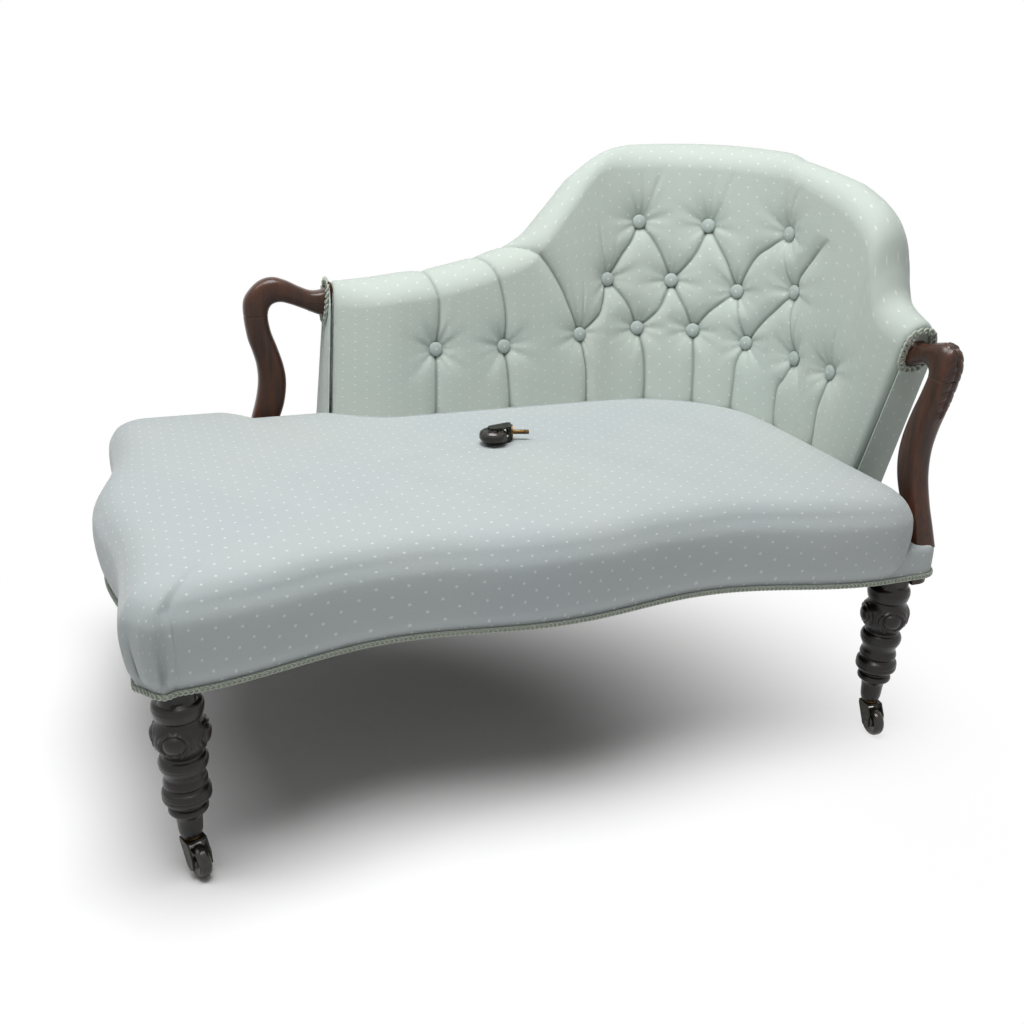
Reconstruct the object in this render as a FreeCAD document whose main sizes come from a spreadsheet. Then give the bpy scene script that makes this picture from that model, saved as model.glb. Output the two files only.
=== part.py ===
import FreeCAD, Part
import math
import os
import Sketcher
from FreeCAD import Placement, Rotation, Vector

# A button-backed chaise longue on turned legs, in millimetres.
# X runs along the seat towards the head end, Y towards the back, Z up from the floor.
# The origin is on the floor in the middle of the plan.

doc = FreeCAD.newDocument("chaise_longue")
sheet = doc.addObject("Spreadsheet::Sheet", "Sizes")

driving = [
    ("legSpan", 1026, "between the two front leg axes"),
    ("frontLegReach", 324.5, "front leg axes in front of the origin"),
    ("rearLegReach", 276.5, "rear leg axes behind the origin"),
    ("rearLegSetIn", 176, "the rear leg at the head end, in from the front one"),
    ("blockSide", 44, "square top of a leg"),
    ("blockRound", 12, "rounded corners of that square"),
    ("blockBottom", 254, "where the turning ends and the square begins"),
    ("blockTop", 310, "top of the square"),
    ("ankleHeight", 53, "bottom of a leg above the floor"),
    ("ankleRadius", 13, "turned leg at its bottom"),
    ("bulbRadius", 35, "widest part of the turned leg"),
    ("stemRadius", 3.5, "castor screw stem"),
    ("stemLength", 26, "castor screw stem above its plate"),
    ("stemClearance", 0.2, "round the screw stem in its socket"),
    ("socketSpare", 4, "socket deeper than its screw stem"),
    ("plateRadius", 12, "round castor plate"),
    ("plateThick", 2.5, "round castor plate"),
    ("postRadius", 3.2, "swivel post under the plate"),
    ("wheelRadius", 21.5, "castor wheel"),
    ("wheelWidth", 20, "castor wheel"),
    ("castorTrail", 18, "wheel axle behind the swivel axis"),
    ("axleRadius", 2, "castor axle pin"),
    ("hornThick", 2.6, "castor horn"),
    ("runGap", 0.5, "running clearance in a castor"),
    ("footBow", 26, "swell of the foot rail past its corners"),
    ("footWave", 6.5, "hollow beside that swell"),
    ("footCorner", 45, "foot corners past the leg axis"),
    ("frontWave", 16.75, "serpentine of the front edge"),
    ("frontBow", 12.5, "how far the front corners stand proud"),
    ("frontSet", 3.25, "mean line of the front edge behind the leg axes"),
    ("headReach", 592, "outside of the back at the head end, from the origin"),
    ("backReach", 355.5, "outside of the back at the rear, from the origin"),
    ("backCorner", 230, "plan radius of the back's outside corner"),
    ("ledgeReach", 64, "front corner of the head end past the leg axis"),
    ("ledgeRound", 30, "plan radius of that corner"),
    ("ledgeSlope", 150, "length over which the rear edge comes in, beside the back"),
    ("footStep", 5, "rear edge at the foot, in from the back's outside"),
    ("rearRound", 34, "plan radius of the rear corner at the foot"),
    ("gimpBottom", 268, "lower edge of the braid above the floor"),
    ("gimpHeight", 9, "braid"),
    ("gimpThick", 2.4, "braid"),
    ("coverThick", 3, "cloth and wadding over the rails"),
    ("railInset", 5, "rails inside the line of the cover"),
    ("railTop", 330, "front and foot rails"),
    ("frontRailBack", 50, "inner face of the front rail behind the leg axes"),
    ("footRailBack", 3, "inner face of the foot rail outside the leg axis"),
    ("lowRailBottom", 256, "rear and head rails"),
    ("lowRailTop", 312, "rear and head rails"),
    ("lowRailThick", 52, "rear and head rails"),
    ("seatCrown", 412, "highest point of the seat"),
    ("seatBulge", 11, "seat pad past the rails"),
    ("hessianHeight", 345, "top of the spring cloth"),
    ("clothThick", 1.5, "spring cloth and webbing"),
    ("springRadius", 34, "seat spring, to the middle of its wire"),
    ("springWire", 1.8, "seat spring wire radius"),
    ("springTurns", 5, "turns in a seat spring"),
    ("innerRear", 195.5, "face of the back at seat height, behind the origin"),
    ("innerHead", 515, "face of the back at seat height, at the head end"),
    ("innerCorner", 235, "plan radius of that face's corner"),
    ("seatLine", 405, "height at which those two are measured"),
    ("rearLean", 0.233, "backward lean of the rear face, per unit of height"),
    ("headLean", 0.03, "outward lean of the head end face, per unit of height"),
    ("backFootEnd", 210, "foot end of the back, from the origin"),
    ("backWingEnd", 191.5, "wing end of the back in front of the origin"),
    ("footRake", 0.1, "lean of the back's foot end towards the head"),
    ("wingRake", 0.28, "lean of the wing's end towards the front"),
    ("rollHeight", 38, "rounded top of the back"),
    ("tuftDepth", 20, "buttons below the full face of the back"),
    ("pleatDepth", 10, "pleats under the lowest buttons"),
    ("puff", 6, "swell of the back between its buttons"),
    ("buttonRadius", 10, "covered button"),
    ("buttonThick", 7, "covered button"),
    ("buttonDome", 4, "swell of a button's front"),
    ("buttonSink", 3, "buttons into the stuffing under them"),
    ("twineRadius", 1, "tufting twine"),
    ("frameThick", 25, "posts and rails inside the back"),
    ("postWidth", 45, "posts inside the back"),
    ("crestDepth", 50, "crest rail inside the back"),
    ("backPadBottom", 345, "lower edge of the back's stuffing"),
    ("armThick", 36, "arms and their supports"),
    ("armSideSet", 37, "arm plane at the head end, in from the back's outside"),
    ("armRearSet", 25, "arm plane at the rear, in from the back's outside"),
    ("armRound", 8, "rounded edges of the arms"),
    ("armJoint", 561, "joint between an arm's support and its scroll"),
    ("dowelRadius", 5, "dowels at the foot and the joint of an arm"),
    ("dowelLength", 40, "those dowels"),
    ("rootDowelRadius", 4, "dowels from the arms into the crest rail"),
    ("seatGap", 2, "between the seat pad and the back"),
    ("braceReach", 60, "corner brace along a rail, past the leg"),
    ("braceBottom", 270, "corner braces"),
    ("braceTop", 305, "corner braces"),
    ("webWidth", 50, "webbing"),
    ("webTop", 268, "seat webbing above the floor"),
    ("dustThick", 1, "dust cover under the webbing"),
    ("bridgeThick", 3.5, "top of a castor horn"),
    ("rivetRadius", 5, "head of a castor's swivel post"),
    ("rivetThick", 3, "head of a castor's swivel post"),
    ("looseX", -5, "wheel of the loose castor, from the origin"),
    ("looseY", 7.5, "wheel of the loose castor, from the origin"),
    ("tackBottom", 330, "lower rail of the back, above the floor"),
    ("tackTop", 365, "lower rail of the back"),
    ("battenWidth", 30, "batten inside the head rail"),
    ("armGap", 2, "between an arm and the side of the seat pad"),
    ("padRound", 45, "plan radius of the pad's front corner at the head end"),
    ("padSkirt", 15, "side of the seat pad beside the back, through its thickness"),
    ("padStepIn", 148, "where the pad's rear edge steps back, from the back's foot end"),
    ("padStepOut", 200, "where that step ends"),
    ("ledgeThick", 5, "cloth over the rails beside the arms"),
    ("bendSpan", 355, "rear run of the back ends this far from the head end"),
    ("bendDepth", -54.5, "run along the head end begins here, from the origin"),
    ("tuftReach", 14, "a pleat line passes this near to its buttons"),
    ("endTaper", 58, "thinning of the back at its foot end"),
    ("endTaperRun", 110, "length of that thinning"),
    ("wingTaper", 18, "thinning of the back at the wing"),
    ("wingTaperRun", 80, "length of that thinning"),
    ("fit", 0.3, "clearance between stuffed pieces"),
]
for row, (alias, value, meaning) in enumerate(driving, 1):
    sheet.set("A%d" % row, meaning)
    sheet.set("B%d" % row, str(value))
    sheet.setAlias("B%d" % row, alias)
doc.recompute()


def size(alias):
    return float(sheet.get(alias))


legX = size("legSpan") / 2
frontLegY = -size("frontLegReach")
rearLegY = size("rearLegReach")
headX = size("headReach")
rearY = size("backReach")
half = size("blockSide") / 2
fit = size("fit")
gimpBottom = size("gimpBottom")

nodes = []


def keep(piece, label):
    # A finished sub-part: its label is the name of its file.
    piece.Label = label
    nodes.append(piece)
    return piece


def feature(name, shape):
    piece = doc.addObject("Part::Feature", name)
    piece.Shape = shape
    return piece


def box(name, low, high):
    # A box between two corners, each a triple of sheet expressions.
    piece = doc.addObject("Part::Box", name)
    for side, (start, end) in zip(("Length", "Width", "Height"), zip(low, high)):
        piece.setExpression(side, "(%s) - (%s)" % (end, start))
    for axis, start in zip("xyz", low):
        piece.setExpression(".Placement.Base." + axis, start)
    return piece


def cut(name, base, tool):
    piece = doc.addObject("Part::Cut", name)
    piece.Base = base
    piece.Tool = tool
    return piece


def group(name, pieces):
    piece = doc.addObject("Part::Compound", name)
    piece.Links = pieces
    return piece


def block(x0, x1, y0, y1, z0, z1):
    return Part.makeBox(x1 - x0, y1 - y0, z1 - z0, Vector(x0, y0, z0))


def run_of_arcs(points):
    # Arcs through three points at a time, each starting where the last one ended.
    edges = []
    for start, middle, end in zip(points[0:-2:2], points[1:-1:2], points[2::2]):
        bend = (middle - start).cross(end - middle).Length
        if bend < 1e-3 * (end - start).Length:
            edges.append(Part.LineSegment(start, end).toShape())
        else:
            edges.append(Part.Arc(start, middle, end).toShape())
    return edges


def prism(points, bottom, top):
    wire = Part.Wire(run_of_arcs([Vector(p.x, p.y, bottom) for p in points]))
    return Part.Face(wire).extrude(Vector(0, 0, top - bottom))


# Plan of the seat

armX = headX - size("armSideSet")
armY = rearY - size("armRearSet")
armHalf = size("armThick") / 2
padX = armX - armHalf - size("armGap") - size("seatBulge")
padY = armY - armHalf - size("armGap") - size("seatBulge")
serpentineEnd = padX - size("padRound")
serpentineSteps = 16
footSteps = 12


def front_edge(part):
    wave = size("frontWave") * math.cos(4 * math.pi * part)
    bow = size("frontBow") * math.cos(2 * math.pi * part)
    return frontLegY + size("frontSet") - bow - wave


def foot_edge(part):
    wave = size("footWave")
    bow = size("footBow") / 2
    mean = size("footCorner") + bow - wave
    return -legX - mean + bow * math.cos(2 * math.pi * part) - wave * math.cos(4 * math.pi * part)


def quarter(centre, radius, start, steps):
    # Points on a quarter circle after its first, turning anticlockwise from the start angle.
    turns = [math.radians(start + 90 * k / steps) for k in range(1, steps + 1)]
    return [centre + Vector(radius * math.cos(a), radius * math.sin(a), 0) for a in turns]


def plan(side, side_round, head, rear, step_start, step_end):
    # A line round the seat, anticlockwise from the front corner at the foot.
    front_end = side - side_round
    points = []
    for k in range(serpentineSteps + 1):
        part = k / serpentineSteps
        points.append(Vector(-legX + part * (serpentineEnd + legX), front_edge(part), 0))

    def straight_to(x, y):
        last = points[-1]
        points.append(Vector((last.x + x) / 2, (last.y + y) / 2, 0))
        points.append(Vector(x, y, 0))

    if front_end > serpentineEnd:
        straight_to(front_end, front_edge(1))
    points.extend(quarter(Vector(front_end, front_edge(1) + side_round, 0), side_round, -90, 2))
    straight_to(head, -size("backWingEnd"))
    corner = size("backCorner")
    straight_to(head, rear - corner)
    points.extend(quarter(Vector(head - corner, rear - corner, 0), corner, 0, 4))
    straight_to(step_start, rear)
    foot_rear = rearY - size("footStep")
    straight_to(step_end, foot_rear)
    turn = size("rearRound")
    straight_to(foot_edge(1) + turn, foot_rear)
    points.extend(quarter(Vector(foot_edge(1) + turn, foot_rear - turn, 0), turn, 90, 2))
    span = foot_rear - turn - frontLegY
    for k in range(footSteps):
        part = 1 - (k + 1) / footSteps
        points.append(Vector(foot_edge(part), frontLegY + part * span, 0))
    axis = Vector(-legX, frontLegY, 0)
    ear = (points[0] - axis + points[-1] - axis).normalize()
    points.append(axis + ear * ((points[0] - axis).Length + (points[-1] - axis).Length) / 2)
    points.append(points[0])
    return points


def moved(points, distance):
    # The same line pushed outwards, square to itself.
    ring = points[:-1]
    count = len(ring)
    result = []
    for k in range(count):
        along = ring[(k + 1) % count] - ring[k - 1]
        out = Vector(along.y, -along.x, 0)
        out.normalize()
        result.append(ring[k] + out * distance)
    return result + [result[0]]


ledgeX = legX + size("ledgeReach")
backFootX = -size("backFootEnd")
railLine = plan(ledgeX, size("ledgeRound"), headX, rearY, backFootX, backFootX - size("ledgeSlope"))
coverThick = size("coverThick")
underCover = moved(railLine, -size("railInset"))

# Rails, with the square tops of the legs let in

railTop = size("railTop")
lowTop = size("lowRailTop")
lowBottom = size("lowRailBottom")
lowInX = headX - size("lowRailThick") - size("railInset")
lowInY = rearY - size("lowRailThick") - size("railInset")
frontInY = frontLegY + size("frontRailBack")
footInX = -legX - size("footRailBack")
wide = 800

highRing = prism(underCover, gimpBottom, railTop)
lowRing = prism(underCover, lowBottom, lowTop)
rearLegX = legX - size("rearLegSetIn")
frontRail = highRing.common(block(-legX + half, legX - half, -wide, frontInY, 0, wide))
keep(feature("FrontRail", frontRail), "front_rail")
footRail = highRing.common(block(-wide, footInX, frontLegY + half, rearLegY - half, 0, wide))
keep(feature("FootRail", footRail), "foot_rail")
cornerX = headX - size("backCorner")
cornerY = rearY - size("backCorner")
rearRail = lowRing.common(block(-wide, cornerX, lowInY, wide, 0, wide))
rearRail = rearRail.common(block(-legX - half, wide, -wide, wide, 0, wide))
headRail = lowRing.common(block(lowInX, wide, frontLegY - half, cornerY, 0, wide))
innerRound = Part.makeCylinder(size("backCorner") - size("railInset") - size("lowRailThick"), wide,
                               Vector(cornerX, cornerY, 0))
cornerRail = lowRing.common(block(cornerX, wide, cornerY, wide, 0, wide)).cut(innerRound)
keep(feature("CornerRail", cornerRail), "corner_rail")


# Legs

legPlaces = {
    "front_left_leg": ("-Sizes.legSpan / 2", "-Sizes.frontLegReach"),
    "front_right_leg": ("Sizes.legSpan / 2", "-Sizes.frontLegReach"),
    "rear_left_leg": ("-Sizes.legSpan / 2", "Sizes.rearLegReach"),
    "rear_right_leg": ("Sizes.legSpan / 2 - Sizes.rearLegSetIn", "Sizes.rearLegReach"),
}
# Radius and height along the turning, from the ankle up to the collar under the square.
turning = [
    (15, 62), (17, 84), (24, 92), (24, 98), (20, 103), (29, 110), (30, 118), (29, 124), (24, 129),
    (27, 134), (26, 140), (24, 146), (29, 158), (30, 165), (28, 171), (24, 176), (33, 190),
]
bulbTop = [(34, 214), (26, 225), (29, 230), (31, 240), (30, 247)]


def leg_profile(body):
    profile = body.newObject("Sketcher::SketchObject", body.Name + "Profile")
    plane = [f for f in body.Origin.OriginFeatures if f.Role == "XZ_Plane"][0]
    profile.AttachmentSupport = [(plane, "")]
    profile.MapMode = "FlatFace"
    foot = size("ankleHeight")
    top = size("blockBottom")
    points = [(0, foot), (size("ankleRadius"), foot)] + turning
    points += [(size("bulbRadius"), 203)] + bulbTop + [(20, top), (0, top)]
    corners = [Vector(radius, height, 0) for radius, height in points]
    profile.addGeometry([Part.LineSegment(a, b) for a, b in zip(corners, corners[1:])], False)
    profile.addGeometry(Part.LineSegment(corners[-1], corners[0]), False)
    return profile


def make_leg(name):
    body = doc.addObject("PartDesign::Body", name.title().replace("_", ""))
    turned = body.newObject("PartDesign::Revolution", body.Name + "Turning")
    turned.Profile = leg_profile(body)
    turned.ReferenceAxis = (turned.Profile[0], ["V_Axis"])
    turned.Angle = 360
    square = body.newObject("Sketcher::SketchObject", body.Name + "Square")
    plane = [f for f in body.Origin.OriginFeatures if f.Role == "XY_Plane"][0]
    square.AttachmentSupport = [(plane, "")]
    square.MapMode = "FlatFace"
    square.setExpression(".AttachmentOffset.Base.z", "Sizes.blockBottom")
    corners = [Vector(-half, -half, 0), Vector(half, -half, 0), Vector(half, half, 0), Vector(-half, half, 0)]
    square.addGeometry([Part.LineSegment(corners[k], corners[(k + 1) % 4]) for k in range(4)], False)
    top = body.newObject("PartDesign::Pad", body.Name + "Top")
    top.Profile = square
    top.setExpression("Length", "Sizes.blockTop - Sizes.blockBottom")
    bore = body.newObject("Sketcher::SketchObject", body.Name + "Bore")
    bore.AttachmentSupport = [(plane, "")]
    bore.MapMode = "FlatFace"
    bore.setExpression(".AttachmentOffset.Base.z", "Sizes.ankleHeight")
    bore.addGeometry(Part.Circle(Vector(0, 0, 0), Vector(0, 0, 1), size("stemRadius")), False)
    wall = bore.addConstraint(Sketcher.Constraint("Radius", 0, size("stemRadius")))
    bore.setExpression("Constraints[%d]" % wall, "Sizes.stemRadius + Sizes.stemClearance")
    socket = body.newObject("PartDesign::Pocket", body.Name + "Socket")
    socket.Profile = bore
    socket.Reversed = True
    socket.setExpression("Length", "Sizes.stemLength + Sizes.socketSpare")
    doc.recompute()
    rounding = body.newObject("PartDesign::Fillet", body.Name + "Rounding")
    upright = []
    for number, edge in enumerate(socket.Shape.Edges, 1):
        low, high = edge.BoundBox.ZMin, edge.BoundBox.ZMax
        straight = edge.BoundBox.XLength + edge.BoundBox.YLength < 1e-6
        if straight and low > size("blockBottom") - 1 and high - low > 10:
            upright.append("Edge%d" % number)
    rounding.Base = (socket, upright)
    rounding.setExpression("Radius", "Sizes.blockRound")
    body.Tip = rounding
    x, y = legPlaces[name]
    body.setExpression(".Placement.Base.x", x)
    body.setExpression(".Placement.Base.y", y)
    return keep(body, name)


for name in legPlaces:
    make_leg(name)


# Seat pad: a crowned cushion over the rails, with low ledges beside the arms

padLine = plan(padX, size("padRound"), padX, padY, backFootX - size("padStepIn"), backFootX - size("padStepOut"))
middleX = (padX - legX - size("footCorner")) / 2
middleY = (padY + frontLegY) / 2
halfLong = padX - middleX
halfDeep = padY - middleY
crown = size("seatCrown")
bulge = size("seatBulge")
# Height of each level, and how far its line stands out from the rails or in from them.
lowLevels = [(gimpBottom, 0), (gimpBottom + 12, 0), (railTop - 34, 0.55 * bulge),
             (railTop - 14, 0.85 * bulge), (railTop + 6, bulge), (crown - 60, 0.95 * bulge),
             (crown - 46, 0.7 * bulge)]
highLevels = [(crown - 32, 0), (crown - 22, 7), (crown - 13, 19), (crown - 7.5, 36), (crown - 4, 62),
              (crown - 2, 100), (crown - 0.8, 150), (crown, 215)]


def lifted(points, height):
    return [Vector(p.x, p.y, height) for p in points]


def drawn_in(points, inset):
    across = 1 - inset / halfLong
    deep = 1 - inset / halfDeep
    return [Vector(middleX + (p.x - middleX) * across, middleY + (p.y - middleY) * deep, 0) for p in points]


def loft(sections):
    return Part.makeLoft([Part.Wire(edges) for edges in sections], True, True)


padSections = [run_of_arcs(lifted(moved(padLine, out), height)) for height, out in lowLevels]
padSections += [run_of_arcs(lifted(drawn_in(padLine, inset), height)) for height, inset in highLevels]
cushion = loft(padSections)
ledge = prism(moved(railLine, -1.5), gimpBottom, lowTop + size("ledgeThick"))


def zone_section(station, low, high):
    # The room that the back takes at one station, with its gap to the seat pad.
    inside = thinning(station) - size("seatGap")
    corners = [back_at(station, low, inside), back_at(station, high, inside), behind(station, high, -20),
               behind(station, low, -20)]
    return [Part.LineSegment(corners[k], corners[(k + 1) % 4]).toShape() for k in range(4)]


# Spring cloth, tacked to the inner faces of the rails and raised over the springs

slope = 30
clothTop = size("hessianHeight")
cloth = size("clothThick")


def tray(inset, height, low):
    head = lowInX - size("battenWidth")
    corners = [(footInX, frontInY), (head, frontInY), (head, rearLegY - half), (footInX, rearLegY - half)]
    rings = []
    for level, shift in ((low, inset), (height, inset + slope)):
        ring = []
        for (x, y), (sx, sy) in zip(corners, ((1, 1), (-1, 1), (-1, -1), (1, -1))):
            ring.append(Vector(x + sx * shift, y + sy * shift, level))
        rings.append(Part.makePolygon(ring + [ring[0]]))
    return Part.makeLoft(rings, True, True)


clothLow = lowTop + 4
hessian = tray(0, clothTop, clothLow).cut(tray(cloth, clothTop - cloth, clothLow - cloth))
keep(feature("SeatHessian", hessian), "seat_hessian")

# The back: a frame that follows the plan's corner, with stuffing in front

seatLine = size("seatLine")
bendX = headX - size("bendSpan")
bendY = size("bendDepth")


class Line:
    # A line along the back in plan: rear run, round corner, then the run along the head end.
    def __init__(self, rear, side, radius, foot=backFootX, wing=-size("backWingEnd")):
        self.rear = rear
        self.side = side
        self.radius = radius
        self.foot = foot
        self.wing = wing
        middle_x = side - radius
        middle_y = rear - radius
        self.spans = [bendX - foot, middle_x - bendX, radius * math.pi / 2, middle_y - bendY, bendY - wing]

    def point(self, place):
        # The whole part of the place counts spans and the rest is the share of the span.
        span = min(int(place), 4)
        share = place - span
        x = self.side - self.radius
        y = self.rear - self.radius
        if span == 0:
            return Vector(self.foot + (bendX - self.foot) * share, self.rear, 0)
        if span == 1:
            return Vector(bendX + (x - bendX) * share, self.rear, 0)
        if span == 2:
            angle = math.pi / 2 * (1 - share)
            return Vector(x + self.radius * math.cos(angle), y + self.radius * math.sin(angle), 0)
        if span == 3:
            return Vector(self.side, y + (bendY - y) * share, 0)
        return Vector(self.side, bendY + (self.wing - bendY) * share, 0)

    def place(self, station):
        # The place that lies a given distance along this line.
        for span, length in enumerate(self.spans):
            if station <= length or span == 4:
                return span + station / length
            station -= length


def inner_line(height, depth=0):
    rise = height - seatLine
    rear = size("innerRear") + size("rearLean") * rise + depth
    side = size("innerHead") + size("headLean") * rise + depth
    foot = backFootX + size("footRake") * rise
    wing = -size("backWingEnd") - size("wingRake") * rise
    return Line(rear, side, size("innerCorner") + depth / 2, foot, wing)


def outer_line(inset, height=None):
    rise = 0 if height is None else height - seatLine
    foot = backFootX + size("footRake") * rise
    wing = -size("backWingEnd") - size("wingRake") * rise
    return Line(rearY - inset, headX - inset, size("backCorner") - inset, foot, wing)


stationLine = Line(size("innerRear") + 27, size("innerHead") + 24, size("innerCorner") - 5)
# Buttons: distance along the back from its foot end, and height.
lowRow = [(171, 513), (296, 511), (443, 524), (575, 531), (669, 531), (762, 521), (864, 516), (959, 517)]
middleRow = [(523, 615), (633, 614), (745, 605), (860, 621)]
topRow = [(580, 711), (695, 709), (847, 711)]
# Crest: distance along the back, and height of the rounded top.
crest = [(0, 612), (26, 615), (58, 619), (115, 626), (171, 631), (235, 643), (296, 659), (350, 680), (395, 723),
         (443, 773), (483, 810), (523, 829), (577, 834), (633, 836), (682, 837), (717, 837), (753, 836),
         (805, 834), (857, 830), (908, 812), (959, 782), (986, 747), (1003, 690), (1022, 650), (1063, 622)]


def between(pairs, station):
    # Value at a station, in proportion between its neighbours.
    if station <= pairs[0][0]:
        return pairs[0][1]
    for (start, low), (end, high) in zip(pairs, pairs[1:]):
        if station <= end:
            return low + (high - low) * (station - start) / (end - start)
    return pairs[-1][1]


def tufted(row, station):
    reach = size("tuftReach")
    return any(abs(station - button) < reach for button, height in row)


roll = size("rollHeight")


def row_heights(station, shoulder):
    low = between(lowRow, station)
    middle = between(middleRow, station)
    top = between(topRow, station)
    if shoulder < top + 25:
        middle = low + 0.38 * (shoulder - low)
        top = low + 0.72 * (shoulder - low)
    return low, middle, top


def back_at(station, height, depth=0):
    # A point in the face of the back, sunk by the depth.
    point = inner_line(height, depth).point(stationLine.place(station))
    return Vector(point.x, point.y, height)


def behind(station, height, inset):
    point = outer_line(inset, height).point(stationLine.place(station))
    return Vector(point.x, point.y, height)


def across(station, height, share, depth):
    # A point between the face of the back and its outside.
    return back_at(station, height, depth) * (1 - share) + behind(station, height, 0) * share


padInset = size("coverThick") + size("frameThick") + 3
deep = size("tuftDepth")
puff = size("puff")
padBottom = size("backPadBottom")


def thinning(station):
    foot = max(0, 1 - station / size("endTaperRun"))
    wing = max(0, 1 - (crest[-1][0] - station) / size("wingTaperRun"))
    return foot * foot * size("endTaper") + wing * wing * size("wingTaper")


def face_arc(station, low, high):
    # An arc up the face from one height and depth to another, swelling between them.
    (z0, d0), (z1, d1) = low, high
    middle = back_at(station, (z0 + z1) / 2, (d0 + d1) / 2 - puff)
    return Part.Arc(back_at(station, z0, d0), middle, back_at(station, z1, d1)).toShape()


def pad_section(station, top):
    shoulder = top - roll
    low, middle, high = row_heights(station, shoulder)
    end = thinning(station)
    depths = [deep if tufted(row, station) else 0 for row in (lowRow, middleRow, topRow)]
    pleat = size("pleatDepth") if tufted(lowRow, station) else 0
    ladder = [(seatLine, pleat + end), (low, depths[0] + end), (middle, depths[1] + end), (high, depths[2] + end),
              (shoulder, end)]
    edges = [Part.LineSegment(back_at(station, padBottom, pleat + end), back_at(station, *ladder[0])).toShape()]
    edges += [face_arc(station, a, b) for a, b in zip(ladder, ladder[1:])]
    front = back_at(station, shoulder, end)
    rear = behind(station, shoulder, 0)
    lift = shoulder + roll * math.sin(math.pi / 4)
    share = (1 - math.cos(math.pi / 4)) / 2
    peak = across(station, top, 0.5, end)
    edges.append(Part.Arc(front, across(station, lift, share, end), peak).toShape())
    edges.append(Part.Arc(peak, across(station, lift, 1 - share, end), rear).toShape())
    inside = behind(station, shoulder, padInset)
    foot = behind(station, padBottom, padInset)
    edges.append(Part.LineSegment(rear, inside).toShape())
    edges.append(Part.LineSegment(inside, foot).toShape())
    edges.append(Part.LineSegment(foot, back_at(station, padBottom, pleat + end)).toShape())
    return edges


def strip_section(station, near, far, low, high):
    corners = [behind(station, low, near), behind(station, high, near), behind(station, high, far),
               behind(station, low, far)]
    return [Part.LineSegment(corners[k], corners[(k + 1) % 4]).toShape() for k in range(4)]


def strip(near, far, low, high, first=0, last=None):
    # A band along the back between two insets from its outside, its heights worked out from the crest.
    last = crest[-1][0] if last is None else last
    stations = [first] + [at for at, top in crest if first < at < last] + [last]
    sections = []
    for station in stations:
        top = between(crest, station)
        sections.append(strip_section(station, near, far, low(top), high(top)))
    return loft(sections)


def crest_top(top):
    return top - roll - fit


def crest_under(top):
    return top - roll - fit - size("crestDepth")


def level(height):
    return lambda top: height


backPad = loft([pad_section(station, top) for station, top in crest])
frameNear = coverThick + fit
frameFar = coverThick + size("frameThick")
crestRail = strip(frameNear, frameFar, crest_under, crest_top)
postHalf = size("postWidth") / 2
lastStation = crest[-1][0]
postStations = {
    "foot_end_post": postHalf,
    "rear_post_left": 235,
    "rear_post_right": 443,
    "corner_post_rear": 577,
    "corner_post_side": 700,
    "head_post": 857,
    "wing_post": lastStation - postHalf,
}
postFoot = lowTop
postShapes = {}
for name, station in postStations.items():
    post = strip(frameNear + 2, frameFar, level(postFoot), lambda top: crest_under(top) - 2 * fit,
                 station - postHalf, station + postHalf)
    postShapes[name] = post

# Lower rail, let in between the posts
lowRailPieces = []
places = sorted(postStations.values())
for start, end in zip(places, places[1:]):
    lowRailPieces.append(strip(frameNear + 2, frameFar, level(size("tackBottom")), level(size("tackTop")),
                               start + postHalf, end - postHalf))
tackingRail = Part.makeCompound(lowRailPieces)
keep(feature("TackingRail", tackingRail), "back_tacking_rail")

# Webbing and canvas behind the stuffing
webs = []
for station in range(70, 1050, 98):
    near = frameFar + fit
    web = strip(near, near + 1, level(size("tackBottom") + 5), lambda top: crest_top(top) - 12, station - 25,
                station + 25)
    webs.append(web.cut(crestRail).cut(tackingRail))
canvas = strip(frameFar + 1 + 2 * fit, padInset - fit, level(padBottom - 8), lambda top: crest_top(top) - 6)

# Outside cover, with a turned-in edge at each end
coverStart = -2.5
coverEnd = lastStation + 2.5
cover = strip(0, coverThick, level(gimpBottom), crest_top, coverStart, coverEnd)
cover = cover.fuse(strip(0, padInset, level(lowTop + fit), crest_top, coverStart, -fit))
cover = cover.fuse(strip(0, padInset, level(lowTop + fit), crest_top, lastStation + fit, coverEnd))

# Arms: each a swept support on the rail and a scroll that enters the end of the back


def smooth(points):
    # A smooth curve through all the points.
    curve = Part.BSplineCurve()
    curve.interpolate(points)
    return curve.toShape()


def arm_blank(runs, place, thickness):
    # The outline is made of smooth runs with straight lines from one to the next.
    edges = []
    for k, run in enumerate(runs):
        points = [place(along, height) for along, height in run]
        following = runs[(k + 1) % len(runs)][0]
        if len(points) > 1:
            edges.append(smooth(points))
        edges.append(Part.LineSegment(points[-1], place(*following)).toShape())
    return Part.Face(Part.Wire(edges)).extrude(thickness)


def rounded(blank):
    # Round the long edges on both faces, and leave those of the joint, the foot and the root square.
    edges = [edge for edge in blank.Edges if edge.Curve.TypeId == "Part::GeomBSplineCurve"]
    return blank.makeFillet(size("armRound"), edges)


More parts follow.
